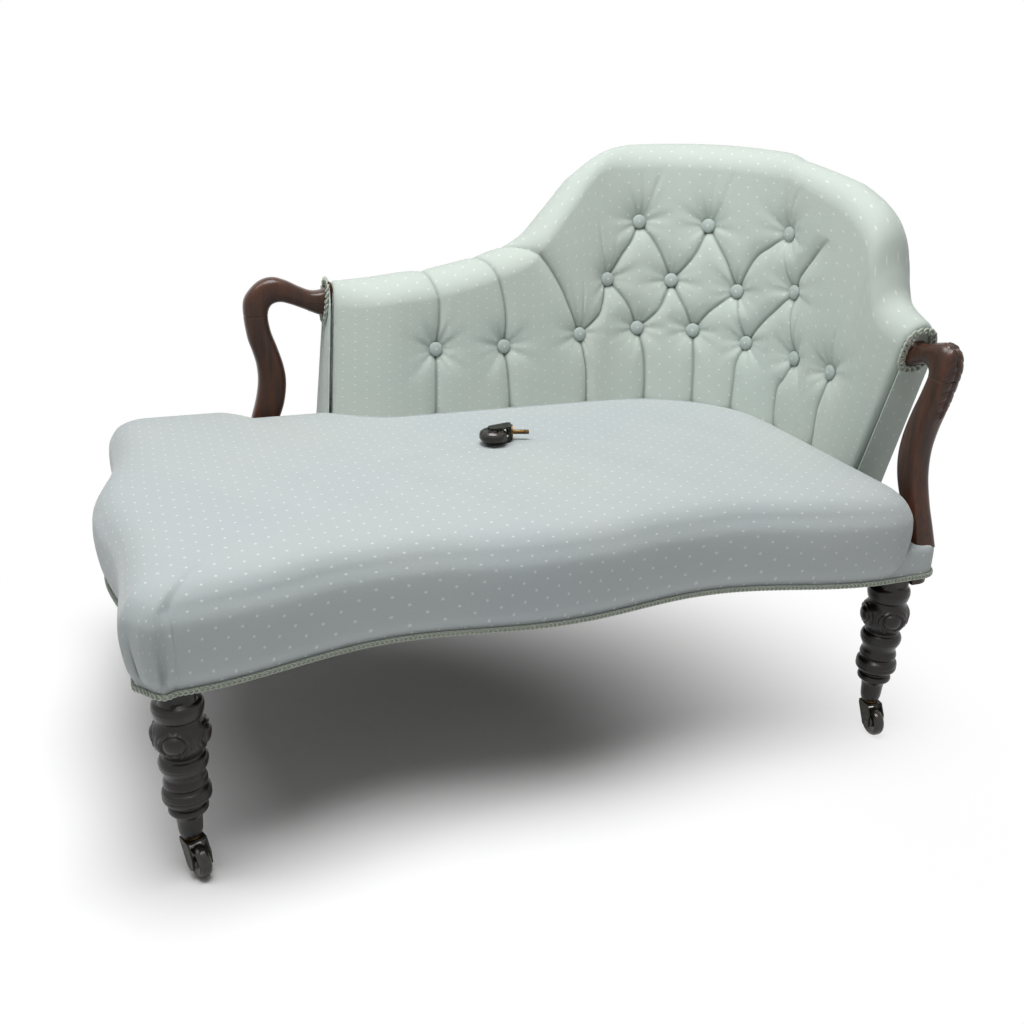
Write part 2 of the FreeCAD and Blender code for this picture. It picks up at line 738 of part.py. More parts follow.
# Distances are from the back's foot end at the rear arm and from the wing's end at the side arm.
jointHeight = size("armJoint")
armFoot = lowTop
rearScroll = [
    [(-125, jointHeight), (-123, 587), (-110, 606), (-93, 619), (-73, 623), (-52, 617), (-30, 606), (-12, 599),
     (4, 599), (14, 604), (20, 613)],
    [(32, 602)],
    [(15, 553), (-3, 559), (-28, 570), (-48, 578), (-65, 582), (-79, 577), (-85, jointHeight)],
]
rearSupport = [
    [(-125, jointHeight), (-121, 524), (-114, 499), (-109, 477), (-108, 450), (-113, 419), (-123, 385),
     (-133, 350), (-142, armFoot)],
    [(-116, armFoot), (-96, 345), (-77, 380), (-66, 410), (-61, 445), (-64, 475), (-73, 507), (-82, 535),
     (-85, jointHeight)],
]
sideScroll = [
    [(-139, jointHeight), (-142, 580), (-139, 596), (-130, 607), (-116, 611), (-101, 609), (-83, 603), (-68, 600),
     (-57, 603), (-47, 612), (-36, 620), (-22, 621), (-12, 614), (-8, 602)],
    [(-23, 577)],
    [(-48, 563), (-69, 570), (-85, 575), (-96, 571), (-99, jointHeight)],
]
sideSupport = [
    [(-139, jointHeight), (-135, 545), (-127, 511), (-118, 480), (-113, 447), (-116, 410), (-128, 371),
     (-141, 340), (-152, armFoot)],
    [(-128, armFoot), (-109, 338), (-88, 368), (-73, 398), (-66, 430), (-68, 462), (-78, 500), (-91, 535),
     (-99, jointHeight)],
]
wingEndY = -size("backWingEnd")


def at_rear(along, height):
    return Vector(backFootX + along, armY - armHalf, height)


def at_side(along, height):
    return Vector(armX - armHalf, wingEndY + along, height)


acrossRear = Vector(0, 2 * armHalf, 0)
acrossSide = Vector(2 * armHalf, 0, 0)
armPieces = {
    "rear_arm_scroll": (rearScroll, at_rear, acrossRear),
    "rear_arm_support": (rearSupport, at_rear, acrossRear),
    "side_arm_scroll": (sideScroll, at_side, acrossSide),
    "side_arm_support": (sideSupport, at_side, acrossSide),
}
# The back is notched round the roots of both arms.
rearNotch = [(-3, 546), (14.5, 550), (34, 604), (37, 660), (-3, 660)]
sideNotch = [(-73, 562), (-47, 562), (-21, 575), (-6, 600), (-3, 660), (-73, 660)]


def slab(corners, thickness):
    return Part.Face(Part.makePolygon(corners + [corners[0]])).extrude(thickness)


reach = Vector(0, size("armRearSet") + 20, 0)
rearNotchShape = slab([at_rear(*pair) - acrossRear * 3 for pair in rearNotch], acrossRear * 3 + reach)
reach = Vector(size("armSideSet") + 20, 0, 0)
sideNotchShape = slab([at_side(*pair) - acrossSide * 2 for pair in sideNotch], acrossSide * 2 + reach)


def notched(shape):
    return shape.cut(rearNotchShape).cut(sideNotchShape)


# Dowels: where each arm stands on its rail, at its joint, and at its root
dowelHalf = size("dowelLength") / 2
upwards = Vector(0, 0, 1)
pinRadius = size("dowelRadius")
rootRadius = size("rootDowelRadius")
rearRoot = Vector(backFootX - 15, rearY - 17, 566)
sideRoot = Vector(headX - 23.5, wingEndY - 60, 578)
dowels = {
    "rear_arm_foot_dowel": (Vector(backFootX - 129, armY, armFoot - dowelHalf), upwards, pinRadius,
                            2 * dowelHalf),
    "rear_arm_joint_dowel": (Vector(backFootX - 105, armY, jointHeight - dowelHalf), upwards, pinRadius,
                             2 * dowelHalf),
    "rear_arm_root_dowel": (rearRoot, Vector(1, 0, 0), rootRadius, 60),
    "side_arm_foot_dowel": (Vector(armX, wingEndY - 140, armFoot - dowelHalf), upwards, pinRadius,
                            2 * dowelHalf),
    "side_arm_joint_dowel": (Vector(armX, wingEndY - 119, jointHeight - dowelHalf), upwards, pinRadius,
                             2 * dowelHalf),
    "side_arm_root_dowel": (sideRoot, Vector(0, 1, 0), rootRadius, 56),
}
slack = 0.1
dowelBores = []
dowelPieces = []
for start, direction, radius, length in dowels.values():
    dowelPieces.append(Part.makeCylinder(radius, length, start, direction))
    dowelBores.append(Part.makeCylinder(radius + slack, length + 1, start - direction * 0.5, direction))
boreShape = Part.makeCompound(dowelBores)


def bored(shape):
    return shape.cut(boreShape)


for name, (runs, place, thickness) in armPieces.items():
    blank = arm_blank(runs, place, thickness)
    if name != "side_arm_scroll":
        blank = rounded(blank)
    keep(feature(name.title().replace("_", ""), bored(blank)), name)
keep(feature("ArmDowels", Part.makeCompound(dowelPieces)), "arm_dowels")

# Rails of the seat and of the back, bored and notched for the arms
keep(feature("RearRail", bored(rearRail)), "rear_rail")
keep(feature("HeadRail", bored(headRail)), "head_rail")
keep(feature("CrestRail", bored(notched(crestRail))), "crest_rail")
for name, shape in postShapes.items():
    keep(feature(name.title().replace("_", ""), notched(shape.cut(crestRail))), name)
keep(feature("BackCanvas", notched(canvas)), "back_canvas")
keep(feature("BackWebbing", notched(Part.makeCompound(webs))), "back_webbing")
keep(feature("BackCover", notched(cover)), "back_cover")

# Buttons, each in a dimple of the stuffing and held by a twine through it


def button_place(station, height):
    # The bottom of a dimple, and the direction from it into the stuffing, square to the face.
    along = back_at(station + 1, height) - back_at(station - 1, height)
    rise = back_at(station, height + 1) - back_at(station, height - 1)
    inwards = rise.cross(along)
    inwards.normalize()
    return back_at(station, height, deep + thinning(station)), inwards


def button_shape():
    # A flat disc with a domed front, its back on the XY plane and its front towards -Z.
    radius = size("buttonRadius")
    thick = size("buttonThick")
    dome = size("buttonDome")
    ball = (radius * radius + dome * dome) / 2 / dome
    disc = Part.makeCylinder(radius, thick, Vector(0, 0, -thick))
    return disc.common(Part.makeSphere(ball, Vector(0, 0, ball - thick)))


def turned_to(shape, position, direction):
    # A shape whose own Z axis is turned to a direction, at a position.
    moved_shape = shape.copy()
    moved_shape.Placement = Placement(position, Rotation(Vector(0, 0, 1), direction))
    return moved_shape


oneButton = button_shape()
pocketShape = Part.makeCylinder(size("buttonRadius") + fit, 30, Vector(0, 0, fit - 30))
pocketTools = []
twines = []
for label, row in (("low_row_buttons", lowRow), ("middle_row_buttons", middleRow), ("top_row_buttons", topRow)):
    buttons = []
    for station, height in row:
        position, inwards = button_place(station, height)
        seat = position + inwards * size("buttonSink")
        buttons.append(turned_to(oneButton, seat, inwards))
        pocketTools.append(turned_to(pocketShape, seat, inwards))
        twine = Part.makeCylinder(size("twineRadius"), rearY, seat + inwards * fit / 2, inwards)
        twines.append(twine.common(backPad))
        pocketTools.append(Part.makeCylinder(size("twineRadius") + fit, rearY, seat, inwards))
    keep(feature(label.title().replace("_", ""), Part.makeCompound(buttons)), label)
keep(feature("ButtonTwines", Part.makeCompound(twines)), "button_twines")
stuffing = notched(backPad).cut(Part.makeCompound(pocketTools))
keep(feature("BackPad", stuffing), "back_pad")

# Seat pad, hollow over the frame and the spring cloth
zoneStations = [-3] + [station for station, top in crest if 0 < station < lastStation] + [lastStation + 3]
backZone = loft([zone_section(station, 240, crown + 40) for station in zoneStations])
cavity = prism(underCover, lowBottom - 10, lowTop + fit)
skirt = size("padSkirt")
inside = block(-wide, padX - skirt, -wide, padY - skirt, 0, wide)
highPart = prism(underCover, lowBottom, railTop + fit).common(inside)
legRooms = []
for x, y in ((-legX, frontLegY), (legX, frontLegY), (-legX, rearLegY), (rearLegX, rearLegY)):
    room = block(x - half - fit, x + half + fit, y - half - fit, y + half + fit, 0, size("blockTop") + fit)
    upright = [edge for edge in room.Edges if edge.BoundBox.ZLength > 1]
    legRooms.append(room.makeFillet(size("blockRound"), upright))
armRooms = [
    block(backFootX - 146, backFootX - 108, armY - armHalf - fit, armY + armHalf + fit, lowTop - 5, lowTop + 50),
    block(armX - armHalf - fit, armX + armHalf + fit, wingEndY - 156, wingEndY - 120, lowTop - 5, lowTop + 50),
]
seatPad = cushion.fuse(ledge)
for tool in [cavity, highPart, tray(-fit, clothTop + fit, clothLow), backZone] + armRooms + legRooms:
    seatPad = seatPad.cut(tool)
keep(feature("SeatPad", seatPad), "seat_pad")
gimp = prism(moved(railLine, size("gimpThick") + fit), gimpBottom, gimpBottom + size("gimpHeight"))
gimp = gimp.cut(prism(moved(railLine, fit), gimpBottom - 1, gimpBottom + size("gimpHeight") + 1))
keep(feature("SeatGimp", gimp), "seat_gimp")

# Under the seat: braces in the corners, battens, webbing and a dust cover
braceLow = size("braceBottom")
braceUp = Vector(0, 0, size("braceTop") - braceLow)
braceRun = size("braceReach")
frontBlockY = frontLegY + half
rearBlockY = rearLegY - half
braces = [
    slab([Vector(footInX, frontBlockY, braceLow), Vector(-legX + half, frontBlockY, braceLow),
          Vector(-legX + half, frontInY, braceLow), Vector(-legX + half + braceRun, frontInY, braceLow),
          Vector(footInX, frontInY + 1.5 * braceRun, braceLow)], braceUp),
    slab([Vector(lowInX, frontBlockY, braceLow), Vector(legX - half, frontBlockY, braceLow),
          Vector(legX - half, frontInY, braceLow), Vector(legX - half - braceRun, frontInY, braceLow),
          Vector(lowInX, frontInY + 1.5 * braceRun, braceLow)], braceUp),
    slab([Vector(footInX, rearBlockY, braceLow), Vector(-legX + half, rearBlockY, braceLow),
          Vector(-legX + half, lowInY, braceLow), Vector(-legX + half + braceRun, lowInY, braceLow),
          Vector(footInX, rearBlockY - 1.5 * braceRun, braceLow)], braceUp),
    slab([Vector(rearLegX - half, rearBlockY, braceLow), Vector(rearLegX - half, lowInY, braceLow),
          Vector(rearLegX - half - braceRun, lowInY, braceLow)], braceUp),
]
keep(feature("CornerBraces", Part.makeCompound(braces)), "corner_braces")
batten = ("-Sizes.legSpan / 2 + Sizes.blockSide / 2 + Sizes.braceReach",
          "Sizes.rearLegReach - Sizes.blockSide / 2", "Sizes.webTop")
battenEnd = ("Sizes.legSpan / 2 - Sizes.rearLegSetIn - Sizes.blockSide / 2 - Sizes.braceReach",
             "Sizes.backReach - Sizes.lowRailThick - Sizes.railInset", "Sizes.lowRailTop")
keep(box("RearBatten", batten, battenEnd), "rear_batten")
batten = ("Sizes.headReach - Sizes.lowRailThick - Sizes.railInset - Sizes.battenWidth",
          "-Sizes.frontLegReach + Sizes.frontRailBack + Sizes.braceReach * 1.5", "Sizes.webTop")
battenEnd = ("Sizes.headReach - Sizes.lowRailThick - Sizes.railInset", "Sizes.backReach - Sizes.backCorner",
             "Sizes.lowRailTop")
keep(box("HeadBatten", batten, battenEnd), "head_batten")
webTop = size("webTop")
webHalf = size("webWidth") / 2
crossPlaces = [-400, -300, -200, -100, 0, 100, 200, 420]
lengthPlaces = [-220, -110, 0, 110, 200]
webStrips = []
for x in crossPlaces:
    webStrips.append(block(x - webHalf, x + webHalf, frontBlockY, rearBlockY + 20, webTop - cloth, webTop))
for y in lengthPlaces:
    webStrips.append(block(footInX - 20, lowInX, y - webHalf, y + webHalf, webTop - 2 * cloth, webTop - cloth))
cornerTool = Part.makeCompound([cornerRail, rearRail, headRail])
keep(feature("SeatWebbing", Part.makeCompound([web.cut(cornerTool) for web in webStrips])), "seat_webbing")
dustTop = webTop - 2 * cloth
dust = block(footInX - 20, lowInX, frontBlockY - 10, lowInY, dustTop - size("dustThick"), dustTop)
for x, y in ((-legX, frontLegY), (legX, frontLegY), (-legX, rearLegY), (rearLegX, rearLegY)):
    dust = dust.cut(block(x - half - 1, x + half + 1, y - half - 1, y + half + 1, dustTop - 10, dustTop + 10))
keep(feature("DustCover", dust.cut(cornerTool)), "dust_cover")

# Springs between the webbing and the spring cloth
wire = size("springWire")
springLow = webTop + wire
springHigh = clothTop - cloth - wire


def spring(x, y):
    turns = int(size("springTurns"))
    radius = size("springRadius")
    steps = 4 * turns
    rise = (springHigh - springLow) / steps
    points = []
    for k in range(steps + 1):
        angle = math.pi / 2 * k
        points.append(Vector(x + radius * math.cos(angle), y + radius * math.sin(angle), springLow + rise * k))
    path = Part.Wire(run_of_arcs(points))
    first = path.Edges[0]
    along = first.tangentAt(first.FirstParameter)
    section = Part.Wire(Part.makeCircle(wire, points[0], along))
    return path.makePipeShell([section], True, False)


springs = [spring(x, y) for x in (-370, -130, 110, 350) for y in (-190, -50, 90)]
keep(feature("SeatSprings", Part.makeCompound(springs)), "seat_springs")

# Castors, each modelled under a swivel axis along Z with its wheel trailing along -Y
legFoot = size("ankleHeight")
runGap = size("runGap")
plateBottom = legFoot - size("plateThick")
hornTop = plateBottom - runGap
trail = size("castorTrail")
wheelZ = size("wheelRadius")
wheelHalf = size("wheelWidth") / 2
hornIn = wheelHalf + runGap + 0.3
hornOut = hornIn + size("hornThick")


def cylinder(name, radius, height, base):
    # A cylinder along Z whose radius, height and foot are sheet expressions.
    piece = doc.addObject("Part::Cylinder", name)
    piece.setExpression("Radius", radius)
    piece.setExpression("Height", height)
    piece.setExpression(".Placement.Base.z", base)
    return piece


def castor_stem(prefix):
    rivet = "Sizes.ankleHeight - Sizes.plateThick - Sizes.runGap - Sizes.bridgeThick - Sizes.fit"
    parts = [
        cylinder(prefix + "Plate", "Sizes.plateRadius", "Sizes.plateThick", "Sizes.ankleHeight - Sizes.plateThick"),
        cylinder(prefix + "Screw", "Sizes.stemRadius", "Sizes.stemLength", "Sizes.ankleHeight"),
        cylinder(prefix + "Post", "Sizes.postRadius", "Sizes.runGap + Sizes.bridgeThick + Sizes.fit", rivet),
        cylinder(prefix + "Rivet", "Sizes.rivetRadius", "Sizes.rivetThick", rivet + " - Sizes.rivetThick"),
    ]
    stem = doc.addObject("Part::MultiFuse", prefix + "Stem")
    stem.Shapes = parts
    return stem


def horn_shape():
    side = [(7, hornTop), (7, 44), (-10, 15), (-trail, 12.5), (-26, 17), (-24, 34), (-14, hornTop)]
    cheeks = []
    for x in (-hornOut, hornIn):
        corners = [Vector(x, y, z) for y, z in side]
        cheeks.append(slab(corners, Vector(size("hornThick"), 0, 0)))
    bridge = block(-hornOut, hornOut, -14, 7, hornTop - size("bridgeThick"), hornTop)
    horn = bridge.fuse(cheeks[0]).fuse(cheeks[1])
    horn = horn.cut(Part.makeCylinder(size("postRadius") + fit, 30, Vector(0, 0, hornTop - 15)))
    axle = Part.makeCylinder(size("axleRadius"), 4 * hornOut, Vector(-2 * hornOut, -trail, wheelZ), Vector(1, 0, 0))
    return horn.cut(axle).removeSplitter()


def wheel_shape():
    # A bowl-sided wheel: a broad tread with rounded shoulders and a hub on each side.
    bore = size("axleRadius") + fit
    profile = [(bore, -wheelHalf), (7, -wheelHalf), (8.5, -wheelHalf + 2.5), (wheelZ - 5, -wheelHalf + 1.5),
               (wheelZ - 1.5, -wheelHalf + 4), (wheelZ, -wheelHalf + 7)]
    mirrored = [(radius, -x) for radius, x in reversed(profile)]
    corners = [Vector(x, -trail, wheelZ + radius) for radius, x in profile + mirrored]
    face = Part.Face(Part.makePolygon(corners + [corners[0]]))
    return face.revolve(Vector(0, -trail, wheelZ), Vector(1, 0, 0), 360)


def castor(prefix, base, turn):
    place = Placement(base, turn)
    stem = castor_stem(prefix)
    keep(stem, prefix + "_stem")
    stem.Placement = place
    for part_name, shape in (("horn", horn_shape()), ("wheel", wheel_shape())):
        piece = feature(prefix + part_name.title(), shape)
        piece.Placement = place
        keep(piece, prefix + "_" + part_name)
    pin = doc.addObject("Part::Cylinder", prefix + "Pin")
    pin.setExpression("Radius", "Sizes.axleRadius")
    pin.Height = 2 * hornOut
    pin.Placement = place.multiply(Placement(Vector(-hornOut, -trail, wheelZ), Rotation(Vector(0, 1, 0), 90)))
    keep(pin, prefix + "_pin")


def about_z(degrees):
    return Rotation(Vector(0, 0, 1), degrees)


castor("front_left", Vector(-legX, frontLegY, 0), about_z(21))
castor("front_right", Vector(legX, frontLegY, 0), about_z(-5))
castor("rear_right", Vector(rearLegX, rearLegY, 0), about_z(35))

# The fourth castor lies loose on the seat, on one cheek of its horn
lying = about_z(-15).multiply(Rotation(Vector(0, 1, 0), 90))
hub = lying.multVec(Vector(0, -trail, wheelZ))
castor("loose", Vector(size("looseX") - hub.x, size("looseY") - hub.y, crown + hornOut + fit), lying)

doc.recompute()
for piece in doc.Objects:
    if "Invalid" in piece.State or "Error" in piece.State:
        raise RuntimeError("%s did not build: %s" % (piece.Name, piece.State))
for piece in nodes:
    if piece.Shape.isNull() or not piece.Shape.isValid():
        raise RuntimeError("%s has no valid shape" % piece.Label)
os.makedirs("parts", exist_ok=True)
for piece in nodes:
    piece.Shape.exportStep(os.path.join("parts", piece.Label + ".step"))
print("%d parts written" % len(nodes))
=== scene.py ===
import math

import bpy
import numpy as np
from mathutils import Matrix, Vector


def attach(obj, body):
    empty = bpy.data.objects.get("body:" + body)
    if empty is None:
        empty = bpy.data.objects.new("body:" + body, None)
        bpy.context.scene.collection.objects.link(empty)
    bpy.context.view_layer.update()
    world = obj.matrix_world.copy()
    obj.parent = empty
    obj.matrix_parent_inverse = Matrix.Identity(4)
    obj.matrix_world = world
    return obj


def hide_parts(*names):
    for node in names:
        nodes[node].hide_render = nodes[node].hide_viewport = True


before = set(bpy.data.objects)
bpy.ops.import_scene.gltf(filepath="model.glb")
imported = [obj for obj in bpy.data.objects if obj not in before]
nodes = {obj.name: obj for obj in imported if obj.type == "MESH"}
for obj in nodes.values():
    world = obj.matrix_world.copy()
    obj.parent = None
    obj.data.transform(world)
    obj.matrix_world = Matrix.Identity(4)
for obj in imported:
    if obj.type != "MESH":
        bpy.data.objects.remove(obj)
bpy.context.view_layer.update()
print("frame loaded,", len(nodes), "nodes")


# small helpers: objects

joined = {"solid": 0.00002, "sheet": 0.00005}    # points nearer than this become one
turnOut = (bpy.ops.mesh.normals_make_consistent, {"inside": False})
weld = (bpy.ops.mesh.remove_doubles, {"threshold": joined["sheet"]})


def deselectAll():
    if bpy.context.object and bpy.context.object.mode != "OBJECT":
        bpy.ops.object.mode_set(mode="OBJECT")
    bpy.ops.object.select_all(action="DESELECT")


def pick(*pieces):
    deselectAll()
    for piece in pieces:
        piece.select_set(True)
    bpy.context.view_layer.objects.active = pieces[0]


def named(name):
    # the piece just made, under its name
    made = bpy.context.object
    made.name = name
    made.data.name = name
    return made


def points(piece):
    flat = np.empty(len(piece.data.vertices) * 3)
    piece.data.vertices.foreach_get("co", flat)
    return flat.reshape(-1, 3)


def setPoints(piece, places):
    piece.data.vertices.foreach_set("co", np.ascontiguousarray(places, dtype=float).ravel())
    piece.data.update()


def applyModifier(piece, kind, **settings):
    pick(piece)
    modifier = piece.modifiers.new(kind.title(), kind)
    for key, value in settings.items():
        setattr(modifier, key, value)
    bpy.ops.object.modifier_apply(modifier=modifier.name)


def editMesh(piece, *steps):
    # each step is an edit-mode operator with its settings, used on the whole mesh
    pick(piece)
    bpy.ops.object.mode_set(mode="EDIT")
    for operator, settings in steps:
        bpy.ops.mesh.select_all(action="SELECT")
        operator(**settings)
    bpy.ops.object.mode_set(mode="OBJECT")


def smooth(piece, angle=None):
    pick(piece)
    if angle is None:
        bpy.ops.object.shade_smooth()
    else:
        bpy.ops.object.shade_smooth_by_angle(angle=math.radians(angle))


def dress(piece, material, slot, *replaced, body="frame"):
    piece.data.materials.clear()
    piece.data.materials.append(material)
    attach(piece, body)
    if replaced:
        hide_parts(*replaced)


def gridSheet(name, columns, rows):
    # a grid primitive, and for each of its points how far along and how far up the sheet it is
    deselectAll()
    bpy.ops.mesh.primitive_grid_add(x_subdivisions=columns, y_subdivisions=rows, size=1)
    sheet = named(name)
    start = points(sheet)
    return sheet, start[:, 0] + 0.5, start[:, 1] + 0.5


def roundSheet(name, line, rows):
    # a sheet round a closed line, with each point's number along the line and its row
    sheet, along, up = gridSheet(name, len(line), rows)
    return sheet, np.rint(along * len(line)).astype(int) % len(line), np.rint(up * rows).astype(int)


def plate(name, loop):
    # one flat face with the loop as its edge
    deselectAll()
    bpy.ops.mesh.primitive_circle_add(vertices=len(loop), radius=1, fill_type="NGON")
    made = named(name)
    start = points(made)
    setPoints(made, loop[np.argsort(np.argsort(-np.arctan2(start[:, 1], start[:, 0])))])
    return made


def closeMesh(piece, angle=None):
    # joins what meets, fills open ends, turns the faces outwards and smooths the shading
    editMesh(piece, (bpy.ops.mesh.remove_doubles, {"threshold": joined["solid"]}),
             (bpy.ops.mesh.fill_holes, {"sides": 0}), turnOut)
    smooth(piece, angle)


def setUv(piece, u, v):
    # the cloth's own coordinates in metres, given for each point of the mesh
    corners = np.empty(len(piece.data.loops), dtype=int)
    piece.data.loops.foreach_get("vertex_index", corners)
    layer = piece.data.uv_layers[0] if piece.data.uv_layers else piece.data.uv_layers.new(name="cloth")
    layer.data.foreach_set("uv", np.stack([u[corners], v[corners]], axis=1).ravel())


def addAttribute(piece, name, values):
    layer = piece.data.attributes.new(name, "FLOAT", "POINT")
    layer.data.foreach_set("value", np.asarray(values, dtype=np.float32))


def smoothLine(knots, samples):
    # a Catmull-Rom line through the knots
    knots = np.asarray(knots, dtype=float)
    padded = np.vstack([2 * knots[0] - knots[1], knots, 2 * knots[-1] - knots[-2]])
    along = np.linspace(0, len(knots) - 1, samples)
    k = np.minimum(along.astype(int), len(knots) - 2)
    t = (along - k)[:, None]
    a, b, c, d = padded[k], padded[k + 1], padded[k + 2], padded[k + 3]
    square, cube = 2 * a - 5 * b + 4 * c - d, 3 * b - a - 3 * c + d
    return 0.5 * (2 * b + (c - a) * t + square * t ** 2 + cube * t ** 3)


def evenly(line, count, closed=False):
    # the same line with its points spaced evenly
    line = np.asarray(line, dtype=float)
    if closed:
        line = np.vstack([line, line[:1]])
    steps = np.linalg.norm(np.diff(line, axis=0), axis=1)
    length = np.concatenate([[0], np.cumsum(steps)])
    wanted = np.linspace(0, length[-1], count + 1 if closed else count)
    if closed:
        wanted = wanted[:-1]
    return np.stack([np.interp(wanted, length, values) for values in line.T], axis=1), length[-1]


def rounded(turn, power):
    # cosine and sine of a turn, squared up by a power below 1
    return [np.sign(part) * np.abs(part) ** power for part in (np.cos(turn), np.sin(turn))]


# shader maths

class Value:
    def __init__(self, finish, socket):
        self.finish = finish
        self.socket = socket

    def maths(self, operation, first, second=0.0):
        return self.finish.node("ShaderNodeMath", {"operation": operation}, {0: first, 1: second})

    def __add__(self, other):
        return self.maths("ADD", self, other)

    def __radd__(self, other):
        return self.maths("ADD", other, self)

    def __sub__(self, other):
        return self.maths("SUBTRACT", self, other)

    def __rsub__(self, other):
        return self.maths("SUBTRACT", other, self)

    def __mul__(self, other):
        return self.maths("MULTIPLY", self, other)

    def __rmul__(self, other):
        return self.maths("MULTIPLY", other, self)

    def __truediv__(self, other):
        return self.maths("DIVIDE", self, other)

    def __pow__(self, other):
        return self.maths("POWER", self, other)


class Finish:
    # a material under construction, or the world's own nodes
    def __init__(self, name, tree=None, **constants):
        if tree is None:
            self.material = bpy.data.materials.new(name)
            self.material.use_nodes = True
            tree = self.material.node_tree
            self.shader = tree.nodes["Principled BSDF"]
        self.tree = tree
        for key, value in constants.items():
            self.shader.inputs[key.replace("_", " ")].default_value = value

    def node(self, kind, settings=None, sockets=None, output=0):
        made = self.tree.nodes.new(kind)
        for key, value in (settings or {}).items():
            setattr(made, key, value)
        for key, value in (sockets or {}).items():
            if isinstance(value, Value):
                self.tree.links.new(value.socket, made.inputs[key])
            else:
                made.inputs[key].default_value = value
        return Value(self, made.outputs[output])

    def here(self):
        return self.node("ShaderNodeTexCoord", output="Object")

    def mix(self, share, first, second):
        return self.node("ShaderNodeMix", {"data_type": "RGBA"}, {0: share, 6: first, 7: second}, output=2)

    def noise(self, where, scale, detail=2.0, roughness=0.5):
        sockets = {"Vector": where, "Scale": scale, "Detail": detail, "Roughness": roughness}
        return self.node("ShaderNodeTexNoise", {}, sockets)

    def spread(self, value, low, high, **settings):
        # 0 at low, 1 at high
        return self.node("ShaderNodeMapRange", settings, {"Value": value, "From Min": low, "From Max": high})

    def attribute(self, name):
        return self.node("ShaderNodeAttribute", {"attribute_name": name}, output="Fac")

    def bump(self, height, distance, strength):
        sockets = {"Height": height, "Distance": distance, "Strength": strength}
        return self.node("ShaderNodeBump", {}, sockets)

    def use(self, **inputs):
        for key, value in inputs.items():
            self.tree.links.new(value.socket, self.shader.inputs[key.replace("_", " ")])
        return self.material


def rgb(red, green, blue):
    # a colour as it is read off a screen, 0 to 255, made linear
    linear = [((c / 255 + 0.055) / 1.055) ** 2.4 if c > 10 else c / 255 / 12.92 for c in (red, green, blue)]
    return (*linear, 1)


cloth = {
    "dotColumn": 0.0350,    # dots along a row
    "dotRow": 0.0136,       # from row to row
    "dotOuter": 0.002415, "dotInner": 0.00126,
    "threads": 1500,        # threads to a metre
    "patchScale": 3.0, "patchRange": (0.35, 0.75), "slubScale": 260.0,
    "wornShare": 0.30, "slubShare": 0.35, "dotShare": 0.62, "darker": 0.86,
    "relief": {"dot": 0.6, "thread": 0.10, "slub": 0.5},
    "seatColour": rgb(172, 180, 182),
    "backColour": rgb(184, 195, 188),
    "buttonColour": rgb(168, 180, 176),
    # painted shade: the colour the cloth is darkened to in its creases, pleats, button hollows and along the
    # top of the outside cover
    "creaseShadeColour": rgb(98, 110, 100),
    "dotColour": rgb(216, 220, 211),
    "wornColour": rgb(192, 194, 180),
}


def clothFinish(name, colour):
    finish = Finish(name, Roughness=0.72, Sheen_Weight=0.25, Sheen_Roughness=0.4)
    here = finish.node("ShaderNodeUVMap")
    u, v = (finish.node("ShaderNodeSeparateXYZ", {}, {"Vector": here}, output=k) for k in (0, 1))
    row = v / cloth["dotRow"]
    rowNumber = row.maths("FLOOR", row)
    inRow = (row - rowNumber - 0.5) * cloth["dotRow"]
    column = u / cloth["dotColumn"] + rowNumber * 0.5
    inColumn = (column - column.maths("FLOOR", column) - 0.5) * cloth["dotColumn"]
    away = (inRow * inRow + inColumn * inColumn) ** 0.5
    dot = finish.spread(away, cloth["dotOuter"], cloth["dotInner"])
    warp, weft = (way.maths("SINE", way * (cloth["threads"] * 2 * math.pi)) for way in (u, v))
    slub = finish.noise(here, cloth["slubScale"])
    worn = finish.spread(finish.noise(here, cloth["patchScale"], 3.0), *cloth["patchRange"])
    dark = tuple(c * cloth["darker"] for c in colour[:3]) + (1,)
    base = finish.mix(worn * cloth["wornShare"], colour, cloth["wornColour"])
    base = finish.mix(slub * cloth["slubShare"], base, dark)
    base = finish.mix(dot * cloth["dotShare"], base, cloth["dotColour"])
    # painted shade: darker in the creases, the pleats, round the buttons and along the top of the outside
    # cover, as the mesh's fold attribute says
    base = finish.mix(finish.attribute("fold"), base, cloth["creaseShadeColour"])
    relief = cloth["relief"]
    height = dot * relief["dot"] + (warp + weft) * relief["thread"] + slub * relief["slub"]
    return finish.use(Base_Color=base, Roughness=0.78 - dot * 0.25, Normal=finish.bump(height, 0.0006, 0.6))


seatCloth = clothFinish("seatCloth", cloth["seatColour"])
backCloth = clothFinish("backCloth", cloth["backColour"])
buttonCloth = clothFinish("buttonCloth", cloth["buttonColour"])


wood = {
    # the groove colour is painted shade for the carved hollows and the turned lines
    "dark": rgb(42, 22, 12), "light": rgb(92, 50, 26), "groove": rgb(14, 9, 7),
    "grainScale": 60.0, "fineScale": 320.0, "patchScale": 14.0, "grainRange": (0.35, 0.75),
}


def woodFinish(name, dark, light, stretch, rough):
    finish = Finish(name, Coat_Weight=0.18, Coat_Roughness=0.2, Specular_IOR_Level=0.3)
    here = finish.here()
    along = finish.node("ShaderNodeMapping", {}, {"Vector": here, "Scale": stretch})
    grain = finish.noise(along, wood["grainScale"], 6.0, 0.65)
    fine = finish.noise(along, wood["fineScale"], 4.0, 0.7)
    patch = finish.noise(here, wood["patchScale"], 3.0)
    carved = finish.attribute("carved")
    base = finish.mix(finish.spread(grain, *wood["grainRange"]) * (0.35 + patch * 0.8), dark, light)
    # painted shade: darker towards near black where the carving and the turned lines are cut in
    base = finish.mix(carved, base, wood["groove"])
    roughness = rough + fine * 0.18 + carved * 0.25
    relief = finish.bump(fine * 0.6 + grain, 0.0008, 0.35)
    return finish.use(Base_Color=base, Roughness=roughness, Normal=relief)


